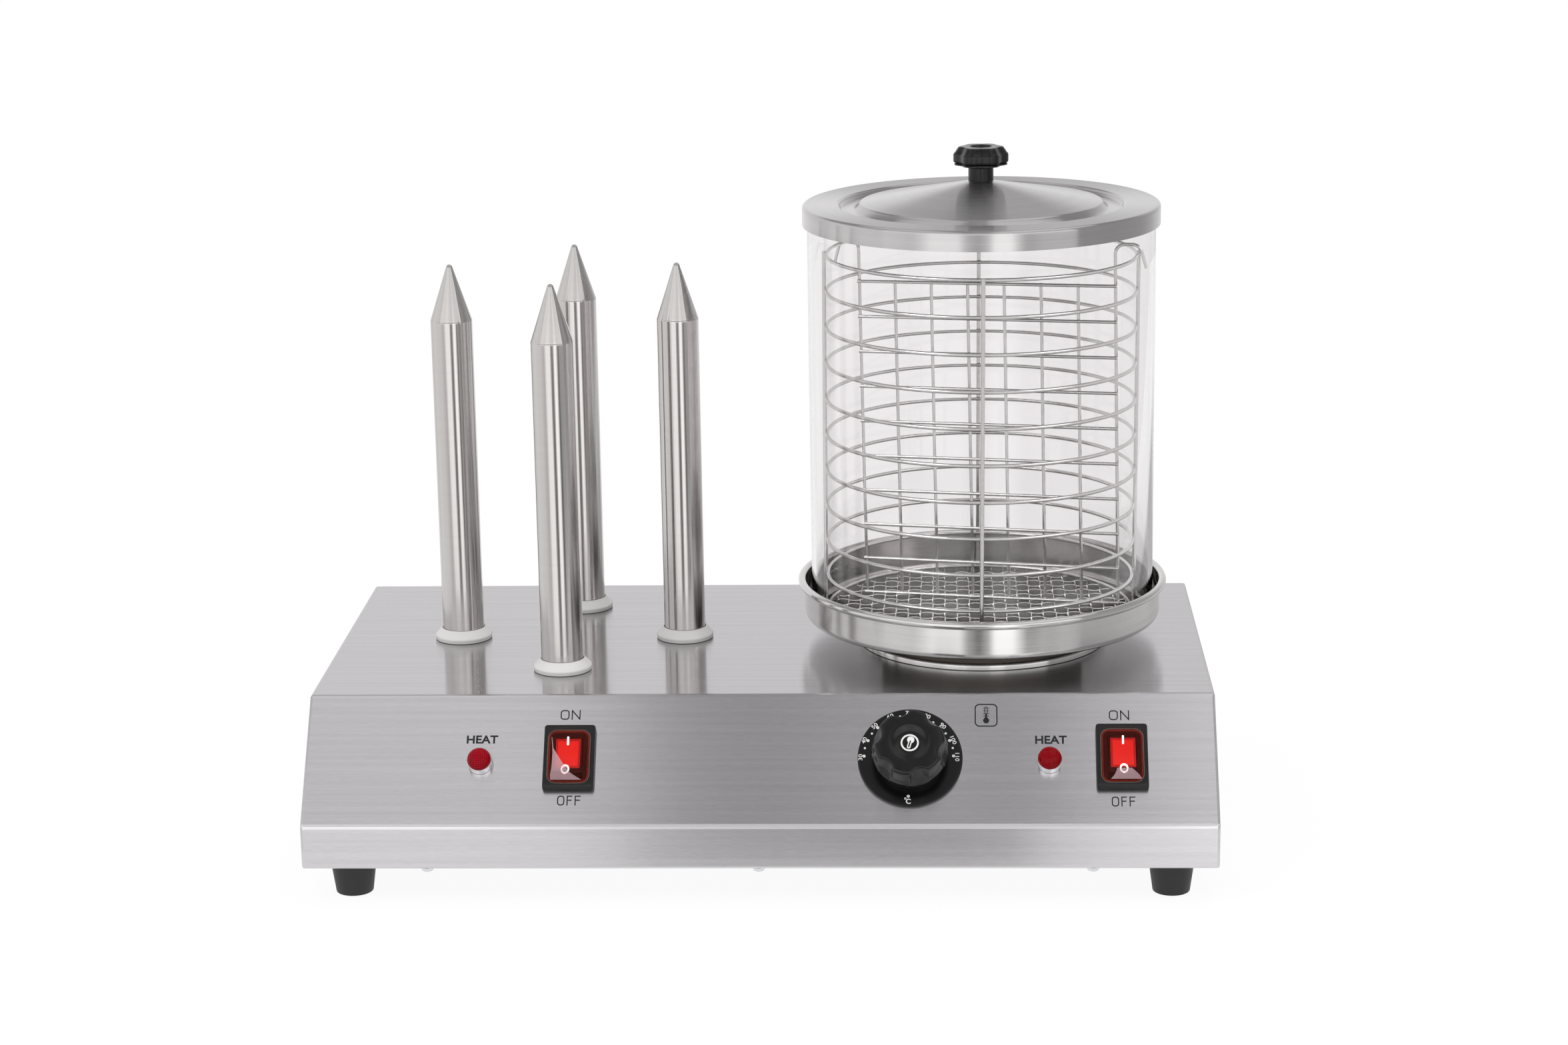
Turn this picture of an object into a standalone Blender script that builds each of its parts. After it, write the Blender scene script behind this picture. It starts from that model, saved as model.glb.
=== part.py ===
"""Countertop hot dog steamer: a sheet-steel base with a sloped control panel, four heated bun spikes
on the left, and on the right a hot plate that boils water in a tray under a glass cylinder with a
wire basket, a divider and a lid.

Units are metres, +Z is up, and the origin is on the tabletop under the middle of the base.
Heights above the deck are written as heights, and DECK_Z turns them into places.
"""
import math

import bmesh
import bpy
from mathutils import Matrix, Vector

# Shared clearances and finish of round shapes
SEAT_GAP = 0.0003          # between two separate pieces that touch on the real object
CUT_OVERRUN = 0.002        # how far every cutter runs past the faces that it opens
WELD_DEPTH = 0.0006        # how far two welded wires melt into each other
LARGE_SIDES = 40           # facets round the tray, glass and lid
MEDIUM_SIDES = 24          # facets round the dial and hot plate
SMALL_SIDES = 16           # facets round spikes, feet and lamps
SCREW_SIDES = 8            # facets round fasteners
SIDES_PER_LOBE = 5         # facets round each lobe of a knob

# Base: folded sheet housing
BASE_WIDTH = 0.500
BASE_DEPTH = 0.280
SHEET = 0.001
BEND_RADIUS = 0.0015
SKIRT_Z = 0.021            # lower edge of the skirt above the table
SKIRT_HEIGHT = 0.0245
SLOPE_HEIGHT = 0.0595
SLOPE_RUN = 0.050
FLANGE_WIDTH = 0.014
SLOPE_Z = SKIRT_Z + SKIRT_HEIGHT
DECK_Z = SLOPE_Z + SLOPE_HEIGHT
DECK_FRONT_Y = SLOPE_RUN - BASE_DEPTH / 2
DECK_MIDDLE_Y = (DECK_FRONT_Y + BASE_DEPTH / 2) / 2
SLOPE_ANGLE = math.atan2(SLOPE_HEIGHT, SLOPE_RUN)
SLOPE_LENGTH = math.hypot(SLOPE_HEIGHT, SLOPE_RUN)

# Bottom plate with its vent slots and screws
PLATE_SHEET = 0.001
PLATE_INSET = 0.0055
PLATE_TOP_Z = SKIRT_Z - SEAT_GAP
PLATE_BOTTOM_Z = PLATE_TOP_Z - PLATE_SHEET
VENT_LENGTH = 0.050
VENT_WIDTH = 0.004
VENT_PITCH = 0.012
VENTS_PER_ROW = 7
VENT_ROW_OFFSET_X = 0.120
BASE_SCREW_SPACING = 0.182
BASE_SCREW_INSET = 0.009
BASE_SCREW_HEAD_RADIUS = 0.0036
BASE_SCREW_HEAD_HEIGHT = 0.0025
BASE_SCREW_RADIUS = 0.0015
BASE_SCREW_LENGTH = 0.006

# Rubber feet
FOOT_TOP_RADIUS = 0.01285
FOOT_BOTTOM_RADIUS = 0.01025
FOOT_INSET = 0.0245
FOOT_EDGE = 0.0008
FOOT_WELL_RADIUS = 0.0055
FOOT_WELL_DEPTH = 0.011
FOOT_SCREW_RADIUS = 0.002
FOOT_SCREW_HEAD_RADIUS = 0.0045
FOOT_SCREW_HEAD_HEIGHT = 0.003
FOOT_SCREW_LENGTH = 0.016
FOOT_X = BASE_WIDTH / 2 - FOOT_INSET
FOOT_Y = BASE_DEPTH / 2 - FOOT_INSET

# Heated spikes for the buns, in a diamond round their own centre
SPIKE_CENTRE_X = -0.1144
SPIKE_CIRCLE_RADIUS = 0.065
SPIKE_RADIUS = 0.012
SPIKE_WALL = 0.0012
SPIKE_SHOULDER_HEIGHT = 0.1897
SPIKE_HEIGHT = 0.2215
SPIKE_TIP_RADIUS = 0.0022
SPIKE_TIP_ROUND = 0.0016
SPIKE_STEP = 0.0004
SPIKE_TAIL = 0.010         # threaded end below the deck
COLLAR_HEIGHT = 0.007
COLLAR_FLARE_HEIGHT = 0.0022
COLLAR_RADIUS = 0.0166
COLLAR_FOOT_RADIUS = 0.0163
COLLAR_SPIGOT_RADIUS = 0.0140
SPIKE_NUT_RADIUS = 0.018
SPIKE_NUT_HEIGHT = 0.005
HEATER_LENGTH = 0.130
SPIKE_BORE_RADIUS = SPIKE_RADIUS - SPIKE_WALL

# Hot plate under the water tray
STACK_X = 0.1238
STACK_Y = DECK_MIDDLE_Y
HOTPLATE_RADIUS = 0.058
HOTPLATE_SPIGOT_RADIUS = 0.054
HOTPLATE_SPIGOT_DEPTH = 0.008
HOTPLATE_EDGE = 0.001
TRIM_RING_RADIUS = 0.072
TRIM_RING_HEIGHT = 0.0039
TRIM_RING_EDGE = 0.0012
TRIM_RING_SHEET = 0.001
TRIM_LIP_RADIUS = 0.066
ELEMENT_TUBE_RADIUS = 0.0035
ELEMENT_OUTER_RADIUS = 0.045
ELEMENT_PITCH = 0.012
ELEMENT_TURNS = 2.0
ELEMENT_POINTS_PER_TURN = 14
ELEMENT_LEG = 0.012

# Water tray with its rolled rim
TRAY_SHEET = 0.0008
TRAY_UNDERSIDE_HEIGHT = 0.0146
TRAY_RIM_HEIGHT = 0.0380
TRAY_WALL_RADIUS = 0.1025
TRAY_CORNER_RADIUS = 0.003
TRAY_CURL_RADIUS = 0.0023
TRAY_CURL_SWEEP = math.radians(250)
TRAY_CURL_STEPS = 4
TRAY_FLOOR_HEIGHT = TRAY_UNDERSIDE_HEIGHT + TRAY_SHEET

# Wire basket with its mesh floor
RING_WIRE_RADIUS = 0.0011
BAR_WIRE_RADIUS = 0.00125
RING_RADIUS = 0.0878
RING_COUNT = 11
TOP_RING_HEIGHT = 0.2258
RING_STEPS = 24
WIRE_SIDES = 4
BAR_SIDES = 6
MESH_THICKNESS = 0.0016
MESH_RADIUS = 0.0900
MESH_RIM_WIDTH = 0.0018
MESH_WIRE_WIDTH = 0.0012
MESH_PITCH_X = 0.0142
MESH_PITCH_Y = 0.0198
MESH_BOTTOM_HEIGHT = TRAY_FLOOR_HEIGHT + SEAT_GAP
MESH_TOP_HEIGHT = MESH_BOTTOM_HEIGHT + MESH_THICKNESS
BOTTOM_RING_HEIGHT = MESH_TOP_HEIGHT + SEAT_GAP + RING_WIRE_RADIUS
RING_PITCH = (TOP_RING_HEIGHT - BOTTOM_RING_HEIGHT) / (RING_COUNT - 1)
BAR_CIRCLE_RADIUS = RING_RADIUS + RING_WIRE_RADIUS + BAR_WIRE_RADIUS - WELD_DEPTH

# Divider grid that hangs on the top ring
DIVIDER_WIRE_RADIUS = 0.0010
DIVIDER_COLUMNS = 8
DIVIDER_ROWS = 10
DIVIDER_COLUMN_PITCH = 0.0216
DIVIDER_ROW_PITCH = 0.0207
DIVIDER_TURN = math.radians(-14)
DIVIDER_OFFSET_X = 0.0026
DIVIDER_OFFSET_Y = 0.020
HOOK_RISE = 0.0239         # from the top row to the middle of the hook's highest wire
HOOK_SPAN_RIGHT = 0.0167
HOOK_SPAN_LEFT = 0.0138
HOOK_TIP_RISE = 0.0104
HOOK_CORNER_RADIUS = 0.0056
HOOK_CORNER_STEPS = 3
HOOK_SEAT_ALLOWANCE = 0.0003

# Glass cylinder
GLASS_RADIUS = 0.0985
GLASS_WALL = 0.0025
GLASS_EDGE = 0.0006
LID_TOP_HEIGHT = 0.2545
LID_SHEET = 0.0008
GLASS_FOOT_HEIGHT = TRAY_FLOOR_HEIGHT + SEAT_GAP
GLASS_TOP_HEIGHT = LID_TOP_HEIGHT - LID_SHEET - SEAT_GAP

# Lid, pressed from sheet
LID_RADIUS = 0.1011
LID_RIM_DEPTH = 0.0112
LID_EDGE_RADIUS = 0.0013
LID_GROOVE_OUTER_RADIUS = 0.0815
LID_GROOVE_INNER_RADIUS = 0.0690
LID_GROOVE_DEPTH = 0.0028
LID_GROOVE_SLANT = 0.0025
LID_CONE_HEIGHT = 0.0122
LID_CONE_BASE_RADIUS = 0.067
LID_CONE_BASE_HEIGHT = 0.001
LID_SEAT_RADIUS = 0.0075

# Lid knob with six lobes
LID_KNOB_RADIUS = 0.01555
LID_KNOB_LOBES = 6
LID_KNOB_LOBE_DEPTH = 0.0022
LID_KNOB_HEAD_HEIGHT = 0.0105
LID_KNOB_NECK_RADIUS = 0.0071
LID_KNOB_NECK_HEIGHT = 0.0088
LID_KNOB_WELL_RADIUS = 0.0060
LID_KNOB_WELL_DEPTH = 0.005
LID_KNOB_EDGE = 0.0018
LID_SCREW_RADIUS = 0.0022
LID_SCREW_HEAD_RADIUS = 0.0045
LID_SCREW_HEAD_HEIGHT = 0.0028
LID_SCREW_LENGTH = 0.010

# Thermostat: dial plate, knob, body and capillary
DIAL_INSET = 0.1672        # from the right end of the base
DIAL_X = BASE_WIDTH / 2 - DIAL_INSET
DIAL_UP = 0.0392           # places on the panel are measured up its slope
DIAL_RADIUS = 0.02865
DIAL_THICKNESS = 0.0018
DIAL_EDGE = 0.0008
KNOB_RADIUS = 0.0208
KNOB_HEIGHT = 0.0225
KNOB_SKIRT_HEIGHT = 0.004
KNOB_TAPER = 0.0012
KNOB_EDGE = 0.0018
KNOB_LIP_RADIUS = 0.0108
KNOB_DISH_RADIUS = 0.0085
KNOB_DISH_DEPTH = 0.0016
KNOB_SCALLOPS = 6
KNOB_SCALLOP_DEPTH = 0.0032
KNOB_POINTER_ANGLE = math.radians(255.7)
SHAFT_RADIUS = 0.003
SHAFT_LENGTH = 0.012
THERMOSTAT_RADIUS = 0.017
THERMOSTAT_DEPTH = 0.024
THERMOSTAT_NECK_RADIUS = 0.005
CAPILLARY_RADIUS = 0.0011
BULB_RADIUS = 0.0030
BULB_LENGTH = 0.040

# Rocker switches with their clear splash covers
SWITCH_LEFT_INSET = 0.1462
SWITCH_RIGHT_INSET = 0.0520
SWITCH_LEFT_X = SWITCH_LEFT_INSET - BASE_WIDTH / 2
SWITCH_RIGHT_X = BASE_WIDTH / 2 - SWITCH_RIGHT_INSET
SWITCH_UP = 0.0390
SWITCH_WIDTH = 0.0280
SWITCH_HEIGHT = 0.0382
SWITCH_FRAME_RISE = 0.0045
SWITCH_CORNER = 0.0015
SWITCH_BODY_MARGIN = 0.0020
SWITCH_BODY_DEPTH = 0.018
SWITCH_POCKET_WIDTH = 0.0185
SWITCH_POCKET_HEIGHT = 0.0285
SWITCH_POCKET_DEPTH = 0.013
COVER_WIDTH = 0.0236
COVER_HEIGHT = 0.0316
COVER_RISE = 0.0062
COVER_WALL = 0.0008
COVER_CORNER = 0.0050
COVER_CORNER_STEPS = 3
COVER_TOP_EDGE = 0.0020
ROCKER_WIDTH = 0.0150
ROCKER_LENGTH = 0.0240
ROCKER_THROW = math.radians(16)
ROCKER_END_RISE = 0.0018
ROCKER_PIVOT_DEPTH = 0.0060
ROCKER_KEEL_DEPTH = 0.0045
ROCKER_PIN_RADIUS = 0.0012
ROCKER_PIN_CLEARANCE = 0.0003

# Signal lamps
LAMP_LEFT_INSET = 0.0971
LAMP_RIGHT_INSET = 0.0913
LAMP_LEFT_X = LAMP_LEFT_INSET - BASE_WIDTH / 2
LAMP_RIGHT_X = BASE_WIDTH / 2 - LAMP_RIGHT_INSET
LAMP_UP = 0.0366
LAMP_RADIUS = 0.00685
LAMP_RISE = 0.0075
LAMP_EDGE = 0.0006
LAMP_BODY_RADIUS = 0.0052
LAMP_BODY_DEPTH = 0.022
LENS_RADIUS = 0.0054
LENS_SEAT_DEPTH = 0.004
LENS_DOME_HEIGHT = 0.0030

# Rear cable gland and the terminal block on the bottom plate
GLAND_INSET = 0.100
GLAND_X = GLAND_INSET - BASE_WIDTH / 2
GLAND_Z = 0.046
GLAND_BODY_RADIUS = 0.0075
GLAND_FLANGE_RADIUS = 0.0115
GLAND_FLANGE_LENGTH = 0.0049
GLAND_EDGE = 0.0012
GLAND_NUT_LENGTH = 0.005
GLAND_BORE_RADIUS = 0.004
TERMINAL_X = GLAND_X
TERMINAL_Y = 0.080
TERMINAL_WAYS = 3
TERMINAL_PITCH = 0.012
TERMINAL_DEPTH = 0.020
TERMINAL_HEIGHT = 0.012
TERMINAL_STEP_HEIGHT = 0.007
TERMINAL_STEP_WIDTH = 0.007
TERMINAL_BASE_HEIGHT = 0.004

MATERIALS = {
    "brushed_steel": ((0.56, 0.55, 0.54), 0.34, 1.0),
    "polished_steel": ((0.66, 0.66, 0.66), 0.12, 1.0),
    "galvanised_steel": ((0.50, 0.51, 0.52), 0.45, 1.0),
    "black_rubber": ((0.022, 0.022, 0.024), 0.75, 0.0),
    "black_plastic": ((0.018, 0.018, 0.019), 0.38, 0.0),
    "white_silicone": ((0.78, 0.77, 0.75), 0.55, 0.0),
    "clear_glass": ((0.93, 0.95, 0.95), 0.03, 0.0),
    "clear_plastic": ((0.90, 0.80, 0.80), 0.10, 0.0),
    "red_plastic": ((0.62, 0.012, 0.010), 0.22, 0.0),
    "chrome": ((0.70, 0.70, 0.71), 0.08, 1.0),
    "heater_steel": ((0.30, 0.28, 0.26), 0.50, 1.0),
    "copper": ((0.60, 0.32, 0.20), 0.35, 1.0),
    "natural_nylon": ((0.72, 0.70, 0.62), 0.55, 0.0),
}


def clear_scene():
    for item in list(bpy.data.objects):
        bpy.data.objects.remove(item, do_unlink=True)


def material(name):
    found = bpy.data.materials.get(name)
    if found:
        return found
    colour, roughness, metallic = MATERIALS[name]
    made = bpy.data.materials.new(name)
    made.use_nodes = True
    shader = made.node_tree.nodes["Principled BSDF"]
    shader.inputs["Base Color"].default_value = (*colour, 1.0)
    shader.inputs["Roughness"].default_value = roughness
    shader.inputs["Metallic"].default_value = metallic
    return made


def add_object(name, shape, finish, place=None):
    """Turns a bmesh into an object with outward faces, and puts it at its place."""
    bmesh.ops.recalc_face_normals(shape, faces=shape.faces)
    mesh = bpy.data.meshes.new(name)
    shape.to_mesh(mesh)
    shape.free()
    mesh.shade_smooth()
    mesh.set_sharp_from_angle(angle=math.radians(35))
    item = bpy.data.objects.new(name, mesh)
    bpy.context.scene.collection.objects.link(item)
    item.data.materials.append(material(finish))
    if place is not None:
        item.matrix_world = place
    return item


def add_cutter(name, shape, place=None):
    item = add_object(name, shape, "black_plastic", place)
    item.hide_render = True
    item.display_type = "WIRE"
    return item


def boolean(item, other, operation="DIFFERENCE"):
    step = item.modifiers.new(other.name, "BOOLEAN")
    step.operation = operation
    step.solver = "EXACT"
    step.object = other
    return item


def revolve(outline, sides, radius_at=None, shape=None, place=None):
    """Closed outline of (radius, height) points turned about Z. A point on the axis becomes a pole.

    radius_at(radius, height, angle) may change the radius round the turn, for lobes and scallops.
    """
    shape = shape or bmesh.new()
    place = place or Matrix.Identity(4)
    rings = []
    for radius, height in outline:
        if radius == 0:
            rings.append([shape.verts.new(place @ Vector((0, 0, height)))])
            continue
        ring = []
        for step in range(sides):
            angle = 2 * math.pi * step / sides
            reach = radius_at(radius, height, angle) if radius_at else radius
            spot = Vector((reach * math.cos(angle), reach * math.sin(angle), height))
            ring.append(shape.verts.new(place @ spot))
        rings.append(ring)
    for ring, following in zip(rings, rings[1:] + rings[:1]):
        if len(ring) == 1 and len(following) == 1:
            continue
        for step in range(sides):
            after = (step + 1) % sides
            corners = [ring[step % len(ring)], ring[after % len(ring)]]
            corners += [following[after % len(following)], following[step % len(following)]]
            shape.faces.new(list(dict.fromkeys(corners)))
    return shape


def cylinder_cut(radius, low, high, sides, shape=None, place=None):
    return revolve([(0, high), (radius, high), (radius, low), (0, low)], sides, shape=shape, place=place)


def sheet_outline(path, thickness):
    """Closed outline of a pressed sheet: the path is its upper or outer skin, the wall lies right of it."""
    inner = []
    for index, point in enumerate(path):
        before = Vector(path[max(index - 1, 0)])
        after = Vector(path[min(index + 1, len(path) - 1)])
        here = Vector(point)
        first = (here - before).normalized() if index > 0 else (after - here).normalized()
        second = (after - here).normalized() if index < len(path) - 1 else first
        side = Vector((first.y + second.y, -first.x - second.x))
        side.normalize()
        stretch = side.dot(Vector((first.y, -first.x)))
        moved = here + side * (thickness / stretch)
        inner.append((0 if point[0] == 0 else moved.x, moved.y))
    return list(path) + inner[::-1]


def arc(centre, radius, start, sweep, steps):
    points = []
    for step in range(steps + 1):
        angle = start + sweep * step / steps
        points.append((centre[0] + radius * math.cos(angle), centre[1] + radius * math.sin(angle)))
    return points


def block(low, high, shape=None, place=None):
    """Axis-aligned box between two corners."""
    shape = shape or bmesh.new()
    place = place or Matrix.Identity(4)
    corners = [Vector((x, y, z)) for x in (low[0], high[0]) for y in (low[1], high[1]) for z in (low[2], high[2])]
    verts = [shape.verts.new(place @ corner) for corner in corners]
    for face in ((0, 1, 3, 2), (4, 6, 7, 5), (0, 4, 5, 1), (2, 3, 7, 6), (0, 2, 6, 4), (1, 5, 7, 3)):
        shape.faces.new([verts[index] for index in face])
    return shape


def prism(outline, low, high, to_point, shape=None):
    """Flat outline stretched from low to high. to_point(a, b, c) gives the place of outline point a, b."""
    shape = shape or bmesh.new()
    near = [shape.verts.new(to_point(a, b, low)) for a, b in outline]
    far = [shape.verts.new(to_point(a, b, high)) for a, b in outline]
    count = len(outline)
    for index in range(count):
        after = (index + 1) % count
        shape.faces.new((near[index], near[after], far[after], far[index]))
    shape.faces.new(near[::-1])
    shape.faces.new(far)
    return shape


def rounded_rectangle(width, height, radius, steps):
    points = []
    for quarter, (side, end) in enumerate(((1, 1), (-1, 1), (-1, -1), (1, -1))):
        centre = (side * (width / 2 - radius), end * (height / 2 - radius))
        points += arc(centre, radius, quarter * math.pi / 2, math.pi / 2, steps)
    return points


def tube(points, radius, sides, closed=False, shape=None):
    """Wire of round section along points, mitred at each bend, with flat ends unless it closes on itself."""
    shape = shape or bmesh.new()
    points = [Vector(point) for point in points]
    count = len(points)
    runs = [(points[(index + 1) % count] - point).normalized() for index, point in enumerate(points)]
    if not closed:
        runs[-1] = runs[-2]
    along = runs[-1] if closed else runs[0]
    helper = Vector((0, 0, 1)) if abs(along.z) < 0.9 else Vector((1, 0, 0))
    across = along.cross(helper).normalized()
    rings = []
    for point, leaving in zip(points, runs):
        mitre = (along + leaving).normalized()
        ring = []
        for side in range(sides):
            angle = 2 * math.pi * side / sides
            offset = across * math.cos(angle) + along.cross(across) * math.sin(angle)
            offset -= along * (offset.dot(mitre) / along.dot(mitre))
            ring.append(shape.verts.new(point + offset * radius))
        rings.append(ring)
        across = along.rotation_difference(leaving) @ across
        along = leaving
    pairs = zip(rings, rings[1:] + rings[:1]) if closed else zip(rings, rings[1:])
    for ring, following in pairs:
        for side in range(sides):
            after = (side + 1) % sides
            shape.faces.new((ring[side], ring[after], following[after], following[side]))
    if not closed:
        shape.faces.new(rings[0][::-1])
        shape.faces.new(rings[-1])
    return shape


def inset_outline(outline, distance):
    """Convex outline, counter-clockwise, with every edge moved inwards."""
    moved = []
    count = len(outline)
    for index in range(count):
        before, here, after = (Vector(outline[(index + shift) % count]) for shift in (-1, 0, 1))
        first = (here - before).normalized()
        second = (after - here).normalized()
        side = Vector((-first.y - second.y, first.x + second.x)).normalized()
        stretch = side.dot(Vector((-first.y, first.x)))
        moved.append(tuple(here + side * (distance / stretch)))
    return moved


def panel_place(x, up, out=0.0):
    """Frame on the sloped panel: local X along it, local Y up its slope and local Z out of it."""
    foot = Vector((x, -BASE_DEPTH / 2, SLOPE_Z))
    turn = Matrix.Rotation(SLOPE_ANGLE, 4, "X")
    return Matrix.Translation(foot) @ turn @ Matrix.Translation(Vector((0, up, out)))


def deck_place(x, y, height=0.0):
    return Matrix.Translation(Vector((x, y, DECK_Z + height)))


def housing_block(inset, floor_z):
    """Solid of the housing's side view, with its walls moved in and its floor at floor_z."""
    half_depth = BASE_DEPTH / 2
    outline = [(-half_depth, SKIRT_Z), (half_depth, SKIRT_Z), (half_depth, DECK_Z),
               (DECK_FRONT_Y, DECK_Z), (-half_depth, SLOPE_Z)]
    if inset:
        outline = inset_outline(outline, inset)
        outline[0] = (outline[0][0], floor_z)
        outline[1] = (outline[1][0], floor_z)
    half_width = BASE_WIDTH / 2 - inset
    return prism(outline, -half_width, half_width, lambda y, z, x: Vector((x, y, z)))


SPIKE_PLACES = {
    "front": (0, -1),
    "left": (-1, 0),
    "right": (1, 0),
    "rear": (0, 1),
}


def spike_place(name):
    across, back = SPIKE_PLACES[name]
    x = SPIKE_CENTRE_X + SPIKE_CIRCLE_RADIUS * across
    return deck_place(x, DECK_MIDDLE_Y + SPIKE_CIRCLE_RADIUS * back)


def screw_places():
    y = BASE_DEPTH / 2 - BASE_SCREW_INSET
    for row, side in (("front", -1), ("rear", 1)):
        for number, column in enumerate((-1, 0, 1), start=1):
            yield f"{row}_{number}", column * BASE_SCREW_SPACING, side * y


def foot_places():
    for row, side in (("front", -1), ("rear", 1)):
        for column, across in (("left", -1), ("right", 1)):
            yield f"{row}_{column}", across * FOOT_X, side * FOOT_Y


def make_housing():
    outside = housing_block(0, SKIRT_Z)
    bmesh.ops.bevel(outside, geom=outside.edges[:], offset=BEND_RADIUS, segments=2, profile=0.5, affect="EDGES")
    housing = add_object("base_housing", outside, "brushed_steel")
    boolean(housing, add_cutter("housing_cavity", housing_block(SHEET, SKIRT_Z + SHEET)))

    mouth_x = BASE_WIDTH / 2 - FLANGE_WIDTH
    mouth_y = BASE_DEPTH / 2 - FLANGE_WIDTH
    mouth = block((-mouth_x, -mouth_y, SKIRT_Z - CUT_OVERRUN), (mouth_x, mouth_y, SKIRT_Z + SHEET + CUT_OVERRUN))
    boolean(housing, add_cutter("housing_mouth", mouth))

    holes = bmesh.new()
    through = (-SHEET - CUT_OVERRUN, CUT_OVERRUN)
    spike_hole = COLLAR_SPIGOT_RADIUS + SEAT_GAP
    for name in SPIKE_PLACES:
        cylinder_cut(spike_hole, *through, SMALL_SIDES, holes, spike_place(name))
    plate_hole = HOTPLATE_SPIGOT_RADIUS + SEAT_GAP + TRIM_RING_SHEET
    cylinder_cut(plate_hole, *through, MEDIUM_SIDES, holes, deck_place(STACK_X, STACK_Y))
    for x in (LAMP_LEFT_X, LAMP_RIGHT_X):
        cylinder_cut(LAMP_BODY_RADIUS + SEAT_GAP, *through, SMALL_SIDES, holes, panel_place(x, LAMP_UP))
    dial_hole = THERMOSTAT_NECK_RADIUS + SEAT_GAP
    cylinder_cut(dial_hole, *through, SMALL_SIDES, holes, panel_place(DIAL_X, DIAL_UP))
    half_x = SWITCH_WIDTH / 2 - SWITCH_BODY_MARGIN + SEAT_GAP
    half_y = SWITCH_HEIGHT / 2 - SWITCH_BODY_MARGIN + SEAT_GAP
    for x in (SWITCH_LEFT_X, SWITCH_RIGHT_X):
        block((-half_x, -half_y, through[0]), (half_x, half_y, through[1]), holes, panel_place(x, SWITCH_UP))
    rear = Matrix.Translation(Vector((GLAND_X, BASE_DEPTH / 2, GLAND_Z))) @ Matrix.Rotation(-math.pi / 2, 4, "X")
    cylinder_cut(GLAND_BODY_RADIUS + SEAT_GAP, *through, SMALL_SIDES, holes, rear)
    for _, x, y in screw_places():
        cylinder_cut(BASE_SCREW_RADIUS + SEAT_GAP, SKIRT_Z - CUT_OVERRUN, SKIRT_Z + SHEET + CUT_OVERRUN,
                     SCREW_SIDES, holes, Matrix.Translation(Vector((x, y, 0))))
    boolean(housing, add_cutter("housing_holes", holes))


def make_bottom_plate():
    half_x = BASE_WIDTH / 2 - PLATE_INSET
    half_y = BASE_DEPTH / 2 - PLATE_INSET
    plate = add_object("bottom_plate", block((-half_x, -half_y, PLATE_BOTTOM_Z), (half_x, half_y, PLATE_TOP_Z)),
                       "galvanised_steel")
    holes = bmesh.new()
    low, high = PLATE_BOTTOM_Z - CUT_OVERRUN, PLATE_TOP_Z + CUT_OVERRUN
    for _, x, y in screw_places():
        cylinder_cut(BASE_SCREW_RADIUS + SEAT_GAP, low, high, SCREW_SIDES, holes, Matrix.Translation(Vector((x, y, 0))))
    for _, x, y in foot_places():
        cylinder_cut(FOOT_SCREW_RADIUS + SEAT_GAP, low, high, SCREW_SIDES, holes, Matrix.Translation(Vector((x, y, 0))))
    for side in (-1, 1):
        for number in range(VENTS_PER_ROW):
            x = side * VENT_ROW_OFFSET_X + (number - (VENTS_PER_ROW - 1) / 2) * VENT_PITCH
            block((x - VENT_WIDTH / 2, -VENT_LENGTH / 2, low), (x + VENT_WIDTH / 2, VENT_LENGTH / 2, high), holes)
    boolean(plate, add_cutter("plate_holes", holes))


def make_base_screws():
    head_top = PLATE_BOTTOM_Z - SEAT_GAP
    outline = [(0, head_top - BASE_SCREW_HEAD_HEIGHT),
               (BASE_SCREW_HEAD_RADIUS * 0.7, head_top - BASE_SCREW_HEAD_HEIGHT),
               (BASE_SCREW_HEAD_RADIUS, head_top - BASE_SCREW_HEAD_HEIGHT * 0.4),
               (BASE_SCREW_HEAD_RADIUS, head_top), (BASE_SCREW_RADIUS, head_top),
               (BASE_SCREW_RADIUS, head_top + BASE_SCREW_LENGTH), (0, head_top + BASE_SCREW_LENGTH)]
    for name, x, y in screw_places():
        place = Matrix.Translation(Vector((x, y, 0)))
        add_object(f"base_screw_{name}", revolve(outline, SCREW_SIDES), "chrome", place)


def make_feet():
    top = PLATE_BOTTOM_Z - SEAT_GAP
    bore = FOOT_SCREW_RADIUS + SEAT_GAP
    foot = [(FOOT_WELL_RADIUS, 0), (FOOT_BOTTOM_RADIUS - FOOT_EDGE, 0), (FOOT_BOTTOM_RADIUS, FOOT_EDGE),
            (FOOT_TOP_RADIUS, top), (bore, top), (bore, FOOT_WELL_DEPTH), (FOOT_WELL_RADIUS, FOOT_WELL_DEPTH)]
    head_top = FOOT_WELL_DEPTH - SEAT_GAP
    head_low = head_top - FOOT_SCREW_HEAD_HEIGHT
    screw = [(0, head_low), (FOOT_SCREW_HEAD_RADIUS * 0.7, head_low),
             (FOOT_SCREW_HEAD_RADIUS, head_low + FOOT_SCREW_HEAD_HEIGHT * 0.5),
             (FOOT_SCREW_HEAD_RADIUS, head_top), (FOOT_SCREW_RADIUS, head_top),
             (FOOT_SCREW_RADIUS, head_top + FOOT_SCREW_LENGTH), (0, head_top + FOOT_SCREW_LENGTH)]
    for name, x, y in foot_places():
        place = Matrix.Translation(Vector((x, y, 0)))
        add_object(f"foot_{name}", revolve(foot, SMALL_SIDES), "black_rubber", place)
        add_object(f"foot_screw_{name}", revolve(screw, SCREW_SIDES), "galvanised_steel", place)


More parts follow.
